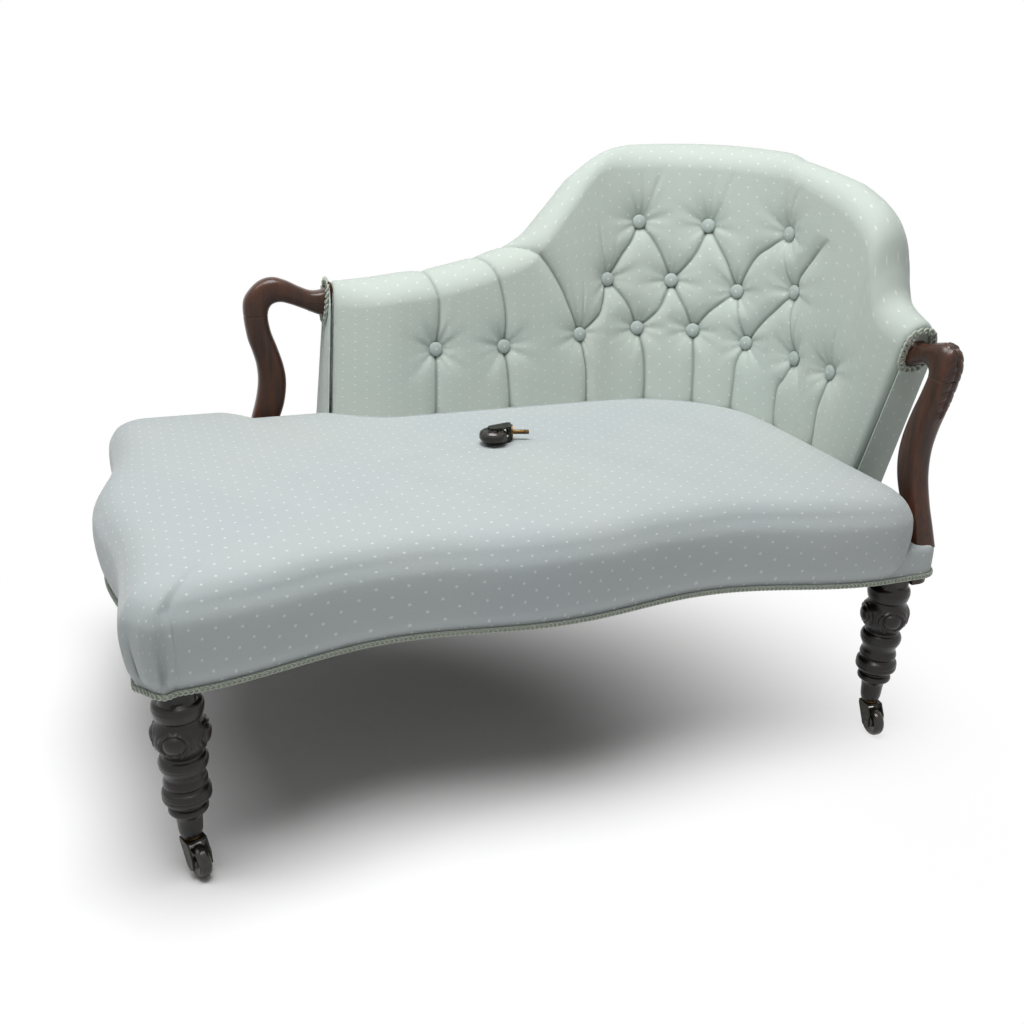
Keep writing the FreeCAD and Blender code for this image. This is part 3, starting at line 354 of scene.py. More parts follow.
armWood = woodFinish("armWood", wood["dark"], wood["light"], (1.0, 1.0, 0.16), 0.22)
legWood = woodFinish("legWood", rgb(12, 9, 8), rgb(34, 22, 17), (1.0, 1.0, 0.2), 0.26)
railWood = woodFinish("railWood", rgb(38, 26, 20), rgb(74, 52, 38), (0.15, 1.0, 1.0), 0.5)


def metalFinish(name, colour, tarnish, metallic, rough):
    finish = Finish(name, Metallic=metallic)
    patch = finish.noise(finish.here(), 160.0, 5.0, 0.6)
    base = finish.mix(finish.spread(patch, 0.4, 0.65), colour, tarnish)
    return finish.use(Base_Color=base, Roughness=rough + patch * 0.25, Normal=finish.bump(patch, 0.0004, 0.4))


brass = metalFinish("brass", rgb(112, 88, 52), rgb(46, 36, 24), 0.9, 0.28)
hornMetal = metalFinish("hornMetal", rgb(52, 51, 44), rgb(24, 24, 21), 0.75, 0.22)
wheelGloss = metalFinish("wheelGloss", rgb(44, 38, 31), rgb(24, 19, 16), 0.0, 0.10)
springSteel = metalFinish("springSteel", rgb(120, 84, 58), rgb(70, 52, 40), 0.85, 0.35)

braidColours = {"pale": rgb(196, 203, 190), "shade": rgb(120, 130, 116)}


def braidFinish():
    finish = Finish("braid", Sheen_Weight=0.2)
    twist = finish.noise(finish.here(), 900.0)
    base = finish.mix(twist, braidColours["shade"], braidColours["pale"])
    return finish.use(Base_Color=base, Roughness=0.6 + twist * 0.3, Normal=finish.bump(twist, 0.0006, 0.7))


braidCloth = braidFinish()


def plainWeave(name, light, dark, threads):
    finish = Finish(name, Roughness=0.9)
    here = finish.here()
    weave = finish.node("ShaderNodeTexBrick", {"offset": 0.5},
                        {"Vector": here, "Color1": light, "Color2": light, "Mortar": dark, "Scale": threads,
                         "Mortar Size": 0.03, "Brick Width": 0.5, "Row Height": 0.5})
    rough = finish.noise(here, 400.0)
    return finish.use(Base_Color=weave, Roughness=0.8 + rough * 0.2, Normal=finish.bump(rough, 0.0006, 0.6))


jute = plainWeave("jute", rgb(168, 148, 110), rgb(92, 76, 52), 500)
hessian = plainWeave("hessian", rgb(150, 130, 98), rgb(84, 70, 48), 420)
dustCloth = plainWeave("dustCloth", rgb(58, 54, 50), rgb(28, 26, 24), 900)
print("finishes made")


# the back: its lines in plan, as stations along it and heights

back = {
    "footEnd": -0.210, "wingEnd": -0.1915,          # ends at seat height
    "bendX": 0.237, "bendY": -0.0545,
    "outerRear": 0.3555, "outerSide": 0.592, "outerCorner": 0.230,
    "innerRear": 0.1955, "innerSide": 0.515, "innerCorner": 0.235,
    "seatLine": 0.405, "rearLean": 0.233, "sideLean": 0.03,
    "footRake": 0.1, "wingRake": 0.28,
    "stationRear": 0.2225, "stationSide": 0.539, "stationCorner": 0.230,
    "roll": 0.038, "bottom": 0.345, "padInset": 0.031,
    "footThin": (0.058, 0.110), "wingThin": (0.018, 0.080), "buttonSeat": 0.0098,
}
crestLine = np.array([
    (0, 612), (26, 615), (58, 619), (115, 626), (171, 631), (235, 643), (296, 659), (350, 680), (395, 723),
    (443, 773), (483, 810), (523, 829), (577, 834), (633, 836), (682, 837), (717, 837), (753, 836),
    (805, 834), (857, 830), (908, 812), (959, 782), (986, 747), (1003, 690), (1022, 650), (1063, 622)]) / 1000
backLength = crestLine[-1, 0]
stationSpans = np.array([
    back["bendX"] - back["footEnd"],
    back["stationSide"] - back["stationCorner"] - back["bendX"],
    back["stationCorner"] * math.pi / 2,
    back["stationRear"] - back["stationCorner"] - back["bendY"],
    back["bendY"] - back["wingEnd"]])
stationEnds = np.concatenate([[0], np.cumsum(stationSpans)])


def placeOf(station):
    inside = np.interp(station, stationEnds, np.arange(6))
    before = np.minimum(station, 0) / stationSpans[0]
    after = np.maximum(station - stationEnds[-1], 0) / stationSpans[4]
    return inside + before + after


def linePoint(place, rear, side, radius, foot, wing):
    # two spans along the rear, the round corner, and two spans along the head end
    middleX, middleY = side - radius, rear - radius
    bendX, bendY = back["bendX"], back["bendY"]
    span = np.clip(np.floor(place), 0, 4)
    share = place - span
    turn = math.pi / 2 * (1 - share)
    x = np.select([span == 0, span == 1, span == 2],
                  [foot + (bendX - foot) * share, bendX + (middleX - bendX) * share,
                   middleX + radius * np.cos(turn)], side + 0 * share)
    y = np.select([span <= 1, span == 2, span == 3],
                  [rear + 0 * share, middleY + radius * np.sin(turn), middleY + (bendY - middleY) * share],
                  bendY + (wing - bendY) * share)
    return x, y


def ends(height):
    rise = height - back["seatLine"]
    return back["footEnd"] + back["footRake"] * rise, back["wingEnd"] - back["wingRake"] * rise


def faceAt(station, height, depth):
    rise = height - back["seatLine"]
    rear = back["innerRear"] + back["rearLean"] * rise + depth
    side = back["innerSide"] + back["sideLean"] * rise + depth
    x, y = linePoint(placeOf(station), rear, side, back["innerCorner"] + depth / 2, *ends(height))
    return np.stack([x, y, height + 0 * x], axis=-1)


def outsideAt(station, height, inset):
    rear, side = back["outerRear"] - inset + 0 * height, back["outerSide"] - inset + 0 * height
    x, y = linePoint(placeOf(station), rear, side, back["outerCorner"] - inset, *ends(height))
    return np.stack([x, y, height + 0 * x], axis=-1)


def overRoll(station, height, depth, inset, angle):
    # over the crest, from the face to the outside
    share = ((1 - np.cos(angle)) / 2)[:, None]
    return faceAt(station, height, depth) * (1 - share) + outsideAt(station, height, inset) * share


def crestAt(station):
    dense = smoothLine(crestLine, 400)
    return np.interp(station, dense[:, 0], dense[:, 1])


def thinning(station):
    deep, run = back["footThin"]
    foot = np.clip(1 - station / run, 0, 1.05) ** 2 * deep
    deep, run = back["wingThin"]
    return foot + np.clip(1 - (backLength - station) / run, 0, 1.05) ** 2 * deep


# tufting: buttons, and the pleats between them, as (station, height) in millimetres

buttonRows = {
    "low_row_buttons": [(171, 513), (296, 511), (443, 524), (575, 531), (669, 531), (762, 521),
                        (864, 516), (959, 517)],
    "middle_row_buttons": [(523, 615), (633, 614), (745, 605), (860, 621)],
    "top_row_buttons": [(580, 711), (695, 709), (847, 711)],
}
tuft = {
    # the button, pleat and fan widths for the fold mask set how far the painted shade spreads from each
    # crease and button
    "buttonDepth": 0.0195, "buttonSpread": 0.024, "buttonShadeReach": 0.0135,
    "pleatDepth": 0.0085, "pleatSpread": 0.013, "pleatShadeWidth": 0.0022,
    "creaseDepth": 0.0032, "creaseWidth": 0.0022,
    "fanDepth": 0.0042, "fanSpread": 0.0055, "fanShadeWidth": 0.003,
    "puff": 0.003, "blend": 3.0, "pleatReach": 0.08, "fanReach": 0.05,
}
# each pleat: its line, and how deep it is at its start, its middle and its end, as a share of the full depth
pleats = [
    # diamonds
    ([(580, 711), (565, 678), (547, 654), (523, 615)], (1, 0.75, 1)),
    ([(580, 711), (604, 679), (620, 649), (633, 614)], (1, 0.85, 1)),
    ([(695, 709), (679, 669), (662, 644), (633, 614)], (1, 0.75, 1)),
    ([(695, 709), (717, 672), (731, 647), (745, 605)], (1, 0.75, 1)),
    ([(847, 711), (812, 687), (779, 662), (745, 605)], (1, 0.8, 1)),
    ([(523, 615), (505, 568), (490, 551), (443, 524)], (1, 0.7, 1)),
    ([(523, 615), (546, 588), (561, 566), (575, 531)], (1, 0.8, 1)),
    ([(633, 614), (617, 572), (602, 553), (575, 531)], (1, 0.6, 1)),
    ([(633, 614), (650, 579), (659, 561), (669, 531)], (1, 0.75, 1)),
    ([(745, 605), (716, 580), (694, 561), (669, 531)], (1, 0.75, 1)),
    ([(745, 605), (751, 564), (762, 521)], (0.8, 0.35, 0.8)),
    ([(860, 621), (823, 586), (796, 561), (762, 521)], (1, 0.85, 1)),
    ([(860, 621), (861, 570), (864, 516)], (0.7, 0.45, 0.8)),
    ([(860, 621), (886, 659), (912, 700), (927, 719)], (1, 0.9, 0)),
    ([(860, 621), (853, 636), (846, 665), (841, 690)], (0.8, 0.4, 0)),
    # down to the seat
    ([(171, 513), (171, 469), (170, 403), (170, 340)], (1, 0.85, 1)),
    ([(296, 511), (302, 461), (304, 400), (304, 340)], (1, 0.85, 1)),
    ([(443, 524), (448, 491), (453, 458), (449, 400), (449, 340)], (1, 0.85, 1)),
    ([(575, 531), (585, 490), (587, 447), (585, 400), (585, 340)], (1, 0.8, 1)),
    ([(669, 531), (671, 469), (668, 400), (668, 340)], (1, 0.75, 1)),
    ([(762, 521), (746, 484), (742, 453), (736, 400), (736, 340)], (0.8, 0.7, 0.9)),
    ([(864, 516), (845, 481), (829, 458), (822, 410), (822, 340)], (0.9, 0.7, 0.9)),
    ([(959, 517), (957, 480), (953, 450), (955, 400), (955, 340)], (1, 0.8, 1)),
    # up and over the crest
    ([(171, 513), (176, 555), (176, 591), (166, 640), (160, 700)], (1, 0.7, 0.8)),
    ([(296, 511), (300, 549), (297, 586), (284, 635), (262, 690), (255, 730)], (1, 0.75, 0.8)),
    ([(443, 524), (423, 572), (411, 600), (388, 637), (360, 669), (325, 700), (300, 745)], (1, 0.9, 0.9)),
]
# short creases that fan out from a button
creases = {
    (443, 524): [[(431, 580), (417, 651)], [(450, 570), (452, 610)], [(460, 500), (470, 480)]],
    (523, 615): [[(509, 662), (500, 712)], [(534, 655), (537, 712)]],
    (580, 711): [[(570, 745), (563, 770)], [(585, 752), (584, 790)], [(601, 752), (621, 802)]],
    (695, 709): [[(703, 750), (711, 815)], [(718, 741), (743, 796)], [(690, 742), (684, 765)]],
    (847, 711): [[(863, 749), (884, 785)], [(846, 745), (850, 780)]],
    (864, 516): [[(861, 559), (857, 600)], [(876, 569), (890, 610)]],
    (959, 517): [[(964, 560), (967, 596)], [(948, 550), (940, 570)]],
    (633, 614): [[(640, 645), (652, 668)], [(630, 642), (632, 660)]],
    (575, 531): [[(577, 560), (584, 580)]],
    (669, 531): [[(672, 556), (682, 574)]],
    (745, 605): [[(748, 634), (757, 655)]],
    (171, 513): [[(186, 545), (192, 562)], [(186, 488), (196, 470)]],
    (296, 511): [[(284, 542), (280, 560)], [(283, 486), (276, 468)]],
}


def distanceTo(line, station, height):
    # distance from each point to a line of short pieces, and how far along the line its nearest point is
    nearest = np.full(station.shape, 9.0)
    along = np.zeros(station.shape)
    for k in range(len(line) - 1):
        a, step = line[k], line[k + 1] - line[k]
        t = np.clip(((station - a[0]) * step[0] + (height - a[1]) * step[1]) / (step @ step), 0, 1)
        away = np.hypot(station - a[0] - step[0] * t, height - a[1] - step[1] * t)
        closer = away < nearest
        nearest = np.where(closer, away, nearest)
        along = np.where(closer, (k + t) / (len(line) - 1), along)
    return nearest, along


def nearLine(knots, samples, reach, station, height):
    # the points within reach of a drawn line, their distance to it and how far along it they are
    line = smoothLine(np.array(knots) / 1000, samples)
    box = (station > line[:, 0].min() - reach) & (station < line[:, 0].max() + reach)
    return box, *distanceTo(line, station[box], height[box])


def tuftAt(station, height):
    # how far the face is drawn in at each point, and how much painted shade its folds get there
    total, fold, crease = (np.zeros(station.shape) for _ in range(3))
    for knots, depths in pleats:
        box, away, along = nearLine(knots, 14, tuft["pleatReach"], station, height)
        share = np.interp(along, [0, 0.5, 1], depths)
        broad = tuft["pleatDepth"] * share * np.exp(-(away / tuft["pleatSpread"]) ** 1.3)
        total[box] += broad ** tuft["blend"]
        crease[box] = np.maximum(crease[box], share * np.exp(-(away / tuft["creaseWidth"]) ** 1.5))
        fold[box] = np.maximum(fold[box], share * np.exp(-(away / tuft["pleatShadeWidth"]) ** 2))
    for knots in ([start, *fan] for start, fans in creases.items() for fan in fans):
        box, away, along = nearLine(knots, 8, tuft["fanReach"], station, height)
        share = np.clip(1.15 - along, 0, 1)
        total[box] += (tuft["fanDepth"] * share * np.exp(-(away / tuft["fanSpread"]) ** 1.5)) ** tuft["blend"]
        fold[box] = np.maximum(fold[box], 0.35 * share ** 2 * np.exp(-(away / tuft["fanShadeWidth"]) ** 2))
    for at, up in sum(buttonRows.values(), []):
        x, z = station - at / 1000, height - up / 1000
        away, turn = np.hypot(x, z), np.arctan2(z, x)
        ripple = 1 + 0.05 * np.cos(7 * turn + at) + 0.04 * np.cos(11 * turn + up)
        dimple = tuft["buttonDepth"] * np.exp(-(away * ripple / tuft["buttonSpread"]) ** 1.25)
        total += dimple ** tuft["blend"]
        fold = np.maximum(fold, 0.55 * np.exp(-(away / tuft["buttonShadeReach"]) ** 4))
    depth = total ** (1 / tuft["blend"])
    return depth - tuft["puff"] + tuft["creaseDepth"] * crease, np.clip(fold, 0, 1)


padRows = {"face": 205, "roll": 36, "inside": 6, "columns": 500, "edge": 0.009}


def backPadPiece():
    # rows run up the face, over the crest and down inside, and the last one meets the first
    faceRows, rollEnd = padRows["face"], padRows["face"] + padRows["roll"]
    rows, columns = rollEnd + padRows["inside"] + 1, padRows["columns"]
    pad, along, up = gridSheet("backPadCover", columns, rows)
    station = np.clip(along, 0, 1) * backLength
    row = np.rint(up * rows)
    onFace, onRoll = row <= faceRows, row <= rollEnd
    bottom, shoulder = back["bottom"], crestAt(station) - back["roll"]
    depth = thinning(station)
    faceHeight = bottom + (shoulder - bottom) * np.clip(row / faceRows, 0, 1)
    angle = np.clip((row - faceRows) / padRows["roll"], 0, 1) * math.pi
    roll = overRoll(station, shoulder + back["roll"] * np.sin(angle), depth, 0.0, angle)
    insideShare = np.clip((row - rollEnd - 1) / (padRows["inside"] - 1), 0, 1)
    inside = outsideAt(station, shoulder + (bottom - shoulder) * insideShare, back["padInset"])
    over = np.where(onRoll[:, None], roll, inside)
    places = np.where(onFace[:, None], faceAt(station, faceHeight, depth), over)
    last = row == rows
    places[last] = faceAt(station[last], bottom + 0 * station[last], depth[last])
    # the ends turn in with a round edge
    edge = padRows["edge"]
    fromEnd = np.minimum(station, backLength - station)
    turnIn = np.where(fromEnd < edge, edge - np.sqrt(np.maximum(edge ** 2 - (edge - fromEnd) ** 2, 0)), 0)
    # draw in along the surface's own normal
    order = np.lexsort((along, up))
    table = places[order].reshape(rows + 1, columns + 1, 3)
    normal = np.cross(np.gradient(table, axis=0), np.gradient(table, axis=1))
    normal /= np.maximum(np.linalg.norm(normal, axis=2, keepdims=True), 1e-12)
    flat = np.empty_like(places)
    flat[order] = normal.reshape(-1, 3)
    height = np.where(onFace, faceHeight, shoulder + angle * 0.045)
    drawn, fold = tuftAt(station, height)
    fade = np.where(onFace, 1, np.clip(1.25 - angle / 2.4, 0, 1))
    drawn = drawn * fade * onRoll * np.clip((height - bottom) / 0.02, 0, 1)
    setPoints(pad, places + flat * (drawn + turnIn * onRoll)[:, None])
    steps = np.linalg.norm(np.diff(table[:, columns // 2], axis=0), axis=1)
    length = np.concatenate([[0], np.cumsum(steps)])
    setUv(pad, station, np.interp(row, np.arange(rows + 1), length) - 0.2)
    # painted shade in the creases and round the buttons, fading out over the roll
    addAttribute(pad, "fold", fold * fade * 0.8)
    closeMesh(pad)
    return pad


backPad = backPadPiece()
dress(backPad, backCloth, "back_fabric", "back_pad")
print("back tufted,", len(backPad.data.polygons), "faces")


# covered buttons

button = {
    "radius": 0.0120, "thick": 0.0085, "flatter": 0.75, "above": 0.62, "below": 0.38,
    "gathers": 9, "gatherDeep": 0.012, "onDot": (0.0175, 0.0068), "shallower": {(864, 516): 0.9},
}


def facePoint(station, height):
    # a place on the undrawn face, and the direction out of it
    station, height = np.array([station]), np.array([height])
    step = 0.001
    depth = thinning(station)
    here = faceAt(station, height, depth)[0]
    along = faceAt(station + step, height, depth)[0] - here
    up = faceAt(station, height + step, depth)[0] - here
    out = np.cross(along, up)
    return here, out / np.linalg.norm(out)


def coveredButton(name):
    deselectAll()
    bpy.ops.mesh.primitive_uv_sphere_add(segments=36, ring_count=18, radius=1)
    made = named(name)
    x, y, z = points(made).T
    gather = button["gatherDeep"] * np.cos(button["gathers"] * np.arctan2(y, x)) * np.hypot(x, y) ** 4
    wide = button["radius"] * (1 + gather)
    top = np.sign(z) * np.abs(z) ** button["flatter"] * button["thick"]
    top *= np.where(top > 0, button["above"], button["below"])
    setPoints(made, np.stack([x * wide, y * wide, top], axis=1))
    setUv(made, x * wide + button["onDot"][0], y * wide + button["onDot"][1])
    return made


def sewnButtons(label, row):
    made = []
    for number, (station, height) in enumerate(row):
        one = coveredButton(label + str(number))
        here, out = facePoint(station / 1000, height / 1000)
        centre = Vector(here - out * back["buttonSeat"] * button["shallower"].get((station, height), 1))
        turned = Vector(out).to_track_quat("Z", "Y").to_matrix().to_4x4()
        one.data.transform(Matrix.Translation(centre) @ turned)
        made.append(one)
    pick(*made)
    bpy.ops.object.join()
    sewn = named(label)
    smooth(sewn)
    return sewn


for rowName, row in buttonRows.items():
    dress(sewnButtons("covered_" + rowName, row), buttonCloth, "button_fabric", rowName)
print("buttons sewn")


# outside cover of the back, turned in over both ends of its frame

outside = {
    "low": 0.2685, "overRoll": 0.004, "return": 0.031, "past": 0.0015, "thick": 0.0022, "clear": 0.0002,
    # painted shade darkens the cover from the last share of its height given here up to its top edge, where
    # it meets the roll
    "ripple": 0.0006, "middle": (0.05, 0.0), "underRollShadeFrom": 0.985,
}


def outsideCover():
    cover, along, up = gridSheet("outsideCover", 330, 60)
    reach, past = outside["return"], outside["past"]
    path = along * (backLength + 2 * reach) - reach
    station = np.clip(path, -past, backLength + past)
    inset = np.clip(np.maximum(-past - path, path - backLength - past), 0, reach) + outside["clear"]
    top = crestAt(np.clip(station, 0, backLength)) - back["roll"] + outside["overRoll"]
    height = outside["low"] + (top - outside["low"]) * up
    places = outsideAt(station, height, inset)
    ripple = outside["ripple"] * np.sin(station * 90) * np.sin(up * 3.1) * (inset < 0.001)
    places[:, :2] += (outside["middle"] - places[:, :2]) * ripple[:, None]
    setPoints(cover, places)
    setUv(cover, path, height)
    # painted shade along the top edge, where the roll comes over it
    addAttribute(cover, "fold", np.clip((up - outside["underRollShadeFrom"]) * 30, 0, 0.4))
    applyModifier(cover, "SOLIDIFY", thickness=outside["thick"], offset=-1)
    smooth(cover, 50)
    return cover


dress(outsideCover(), backCloth, "back_fabric", "back_cover")
print("back covered outside")


# facings that close both ends of the back

facing = {"edge": 0.0022, "proud": 0.0034, "low": 0.3178, "thick": 0.0022, "inset": 0.001, "bevel": 0.0009}


def endFacing(name, station, sign):
    shoulder = crestAt(station) - back["roll"]
    depth = thinning(station) + facing["edge"]
    at = station + sign * facing["proud"]
    rise = np.linspace(facing["low"], shoulder, 40)
    angle = np.linspace(0, math.pi, 30)[1:-1]
    over = shoulder + (back["roll"] - facing["edge"]) * np.sin(angle)
    made = plate(name, np.vstack([
        faceAt(at, rise, depth),
        overRoll(at, over, depth, facing["inset"], angle),
        outsideAt(at, rise[::-1], facing["inset"])]))
    x, y, height = points(made).T
    setUv(made, y if sign < 0 else x, height)
    editMesh(made, turnOut)
    applyModifier(made, "SOLIDIFY", thickness=facing["thick"], offset=0)
    applyModifier(made, "BEVEL", width=facing["bevel"], segments=2, limit_method="ANGLE")
    smooth(made, 40)
    return made


for name, station, sign in (("footEndFacing", 0.0, -1), ("headEndFacing", backLength, 1)):
    dress(endFacing(name, station, sign), backCloth, "back_fabric", "back_cover")
print("ends faced")


# seat: the plan of its cushion and of its rails, as in the construction

seat = {
    "legX": 0.513, "legY": -0.3245, "footCorner": 0.045, "footBow": 0.013, "footWave": 0.0065,
    "frontSet": 0.00325, "frontBow": 0.0125, "frontWave": 0.01675, "serpentineEnd": 0.479,
    "padX": 0.524, "padY": 0.2995, "padRound": 0.045, "ledgeX": 0.577, "ledgeRound": 0.030,
    "footRear": 0.3505, "rearRound": 0.034, "wingEnd": -0.1915, "backCorner": 0.230,
    "footEnd": -0.210, "ledgeSlope": 0.150, "padStep": (0.148, 0.200),
    "gap": 0.002, "wall": 0.006, "cornerIn": 0.985,
    "pleats": ((-168, 0.0042), (-112, 0.0036)), "pleatReach": 0.09, "pleatTop": 0.352, "pleatFade": 0.045,
    # the first width below is that of the pleats' painted shade, in degrees
    "pleatShadeSpread": 2.6, "pleatWide": 4.5, "narrowFrom": 0.30, "narrowing": 6,
    "lumps": (0.0012, 0.0008), "lumpRear": 0.13, "lumpHead": 0.44, "lumpFade": 0.10, "settled": 0.0008,
    "levels": [(0.268, 0.0), (0.280, 0.0), (0.296, 0.0061), (0.316, 0.0094), (0.336, 0.011),
               (0.352, 0.0104), (0.366, 0.0078)],
    "topLevels": [(0.380, 0.0), (0.390, 0.007), (0.399, 0.019), (0.4045, 0.036), (0.408, 0.062),
                  (0.410, 0.100), (0.4112, 0.150), (0.412, 0.215), (0.4122, 0.300)],
}


def frontEdge(part):
    wave = seat["frontWave"] * np.cos(4 * math.pi * part)
    return seat["legY"] + seat["frontSet"] - seat["frontBow"] * np.cos(2 * math.pi * part) - wave


def footEdge(part):
    bow, wave = seat["footBow"], seat["footWave"]
    mean = seat["footCorner"] + bow - wave
    return -seat["legX"] - mean + bow * np.cos(2 * math.pi * part) - wave * np.cos(4 * math.pi * part)


def arc(centreX, centreY, radius, start, steps=14):
    turn = np.radians(start + 90 * np.arange(steps + 1) / steps)
    return list(zip(centreX + radius * np.cos(turn), centreY + radius * np.sin(turn)))


def planLine(side, sideRound, head, rear, stepStart, stepEnd, corner):
    # anticlockwise from the front corner at the foot
    part = np.linspace(0, 1, 121)
    frontEnd = side - sideRound
    x = -seat["legX"] + part * (seat["serpentineEnd"] + seat["legX"])
    line = list(zip(x, frontEdge(part)))
    if frontEnd > seat["serpentineEnd"] + 0.001:
        line += [(frontEnd - 0.01, frontEdge(1.0))]
    line += arc(frontEnd, frontEdge(1.0) + sideRound, sideRound, -90)
    line += [(head, seat["wingEnd"])]
    line += arc(head - corner, rear - corner, corner, 0, 30)
    ease = np.linspace(0, 1, 12)
    line += list(zip(stepStart + (stepEnd - stepStart) * ease,
                     rear + (seat["footRear"] - rear) * (3 * ease ** 2 - 2 * ease ** 3)))
    turn = seat["rearRound"]
    line += arc(footEdge(1.0) + turn, seat["footRear"] - turn, turn, 90)
    part = np.linspace(1, 0, 91)[1:]
    line += list(zip(footEdge(part), seat["legY"] + part * (seat["footRear"] - turn - seat["legY"])))
    front, foot = np.array(line[0]), np.array(line[-1])
    axis = np.array([-seat["legX"], seat["legY"]])
    reach = (np.linalg.norm(front - axis) + np.linalg.norm(foot - axis)) / 2
    start, end = (math.atan2(*(point - axis)[::-1]) % (2 * math.pi) for point in (foot, front))
    for share in (0.25, 0.5, 0.75):
        turn = start + (end - start) * share
        line.append(tuple(axis + reach * seat["cornerIn"] * np.array([math.cos(turn), math.sin(turn)])))
    return np.array(line)


def outwards(line):
    along = np.roll(line, -1, axis=0) - np.roll(line, 1, axis=0)
    out = np.stack([along[:, 1], -along[:, 0]], axis=1)
    return out / np.maximum(np.linalg.norm(out, axis=1, keepdims=True), 1e-9)


def clearOfBack(x, y, z):
    # moves what reaches into the back out to its face
    level = np.maximum(z, back["bottom"])
    rise = level - back["seatLine"]
    foot, wing = ends(level)
    gap = seat["gap"]
    alongRear = np.clip(x - back["footEnd"], 0, None)
    alongWing = backLength - np.clip(y - back["wingEnd"], 0, None)
    faceY = back["innerRear"] + back["rearLean"] * rise + thinning(alongRear) - gap
    faceX = back["innerSide"] + back["sideLean"] * rise + thinning(alongWing) - gap
    radius = back["innerCorner"]
    cornerX, cornerY = faceX - radius, faceY - radius
    inCorner = (x > cornerX) & (y > cornerY)
    away = np.hypot(x - cornerX, y - cornerY)
    pull = np.where(inCorner & (away > radius), radius / np.maximum(away, 1e-6), 1)
    x2, y2 = cornerX + (x - cornerX) * pull, cornerY + (y - cornerY) * pull
    x2, y2 = np.where(inCorner, x2, x), np.where(inCorner, y2, y)
    rearHit = ~inCorner & (y > faceY) & (x > foot - gap) & (x <= cornerX)
    byEnd = rearHit & (x - (foot - gap) < y - faceY)
    x2 = np.where(byEnd, foot - gap, x2)
    y2 = np.where(rearHit & ~byEnd, faceY, y2)
    wingHit = ~inCorner & (x > faceX) & (y > wing - gap) & (y <= cornerY)
    byWing = wingHit & (y - (wing - gap) < x - faceX)
    y2 = np.where(byWing, wing - gap, y2)
    x2 = np.where(wingHit & ~byWing, faceX, x2)
    return x2, y2


def boundaryEdges(piece):
    used = {}
    for polygon in piece.data.polygons:
        for key in polygon.edge_keys:
            used[key] = used.get(key, 0) + 1
    return [edge for edge in piece.data.edges if used.get(tuple(sorted(edge.vertices)), 0) == 1]


def closeTop(pad):
    # one face fills the ring that is left open in the middle of the top
    editMesh(pad, weld)
    bpy.ops.object.mode_set(mode="EDIT")
    bpy.ops.mesh.select_all(action="DESELECT")
    bpy.ops.object.mode_set(mode="OBJECT")
    for edge in boundaryEdges(pad):
        if pad.data.vertices[edge.vertices[0]].co.z > 0.40:
            edge.select = True
    bpy.ops.object.mode_set(mode="EDIT")
    bpy.ops.mesh.select_mode(type="EDGE")
    bpy.ops.mesh.edge_face_add()
    bpy.ops.mesh.select_all(action="SELECT")
    bpy.ops.mesh.normals_make_consistent(inside=False)
    bpy.ops.mesh.select_mode(type="VERT")
    bpy.ops.object.mode_set(mode="OBJECT")


def seatCushion():
    steps = [seat["footEnd"] - step for step in seat["padStep"]]
    plan = planLine(seat["padX"], seat["padRound"], seat["padX"], seat["padY"], *steps, seat["backCorner"])
    line, _ = evenly(plan, 1100, closed=True)
    out = outwards(line)
    out = (out + np.roll(out, 1, axis=0) + np.roll(out, -1, axis=0)) / 3
    middle = np.array([seat["padX"] - seat["legX"] - seat["footCorner"], seat["padY"] + seat["legY"]]) / 2
    half = [seat["padX"], seat["padY"]] - middle
    low = [(z, -swell) for z, swell in seat["levels"]]
    profile, _ = evenly(smoothLine(low + seat["topLevels"], 400), 130)
    pad, k, row = roundSheet("seatCushion", line, len(profile) - 1)
    (height, inset), ring, out = profile[row].T, line[k], out[k]
    pushed = ring + out * np.maximum(-inset, 0)[:, None]
    flat = middle + (pushed - middle) * (1 - np.maximum(inset, 0)[:, None] / half)
    # the cloth is drawn into two pleats at the front corner by the foot
    fromCorner = ring - [-seat["legX"], seat["legY"]]
    turn = np.degrees(np.arctan2(fromCorner[:, 1], fromCorner[:, 0]))
    share = np.clip((seat["pleatTop"] - height) / seat["pleatFade"], 0, 1)
    share = share * (np.linalg.norm(fromCorner, axis=1) < seat["pleatReach"])
    narrow = 1 + seat["narrowing"] * np.maximum(height - seat["narrowFrom"], 0)
    # fold is painted shade, darkest along each pleat
    fold = np.zeros(len(turn))
    for at, deep in seat["pleats"]:
        away = np.abs((turn - at + 180) % 360 - 180) * narrow
        fold = np.maximum(fold, share * np.exp(-(away / seat["pleatShadeSpread"]) ** 2))
        flat -= out * (deep * share * np.exp(-(away / seat["pleatWide"]) ** 2))[:, None]
    # small hollows and lumps of the stuffing, fading out before the back
    x, y = flat.T
    broad, small = seat["lumps"]
    lump = broad * np.sin(x * 21 + 1) * np.sin(y * 17 + 2) + small * np.sin(x * 43 + y * 31)
    for room in (seat["lumpRear"] - y, seat["lumpHead"] - x):
        lump *= np.clip(room / seat["lumpFade"], 0, 1)
    lump = (lump - seat["settled"]) * np.clip((height - 0.30) / 0.05, 0, 1)
    setPoints(pad, np.stack([*clearOfBack(x, y, height), height + lump], axis=1))
    # the cloth is one piece over the top; on the sides its threads hang straight
    hang = np.maximum(profile[:, 0].max() - height, 0)
    setUv(pad, *(flat + out * hang[:, None]).T)
    # painted shade along the pleats, kept in the fold attribute
    addAttribute(pad, "fold", fold * 0.9)
    closeTop(pad)
    applyModifier(pad, "SOLIDIFY", thickness=seat["wall"], offset=-1)
    smooth(pad)
    return pad


seatPad = seatCushion()
dress(seatPad, seatCloth, "seat_fabric", "seat_pad")
print("seat stuffed,", len(seatPad.data.polygons), "faces")


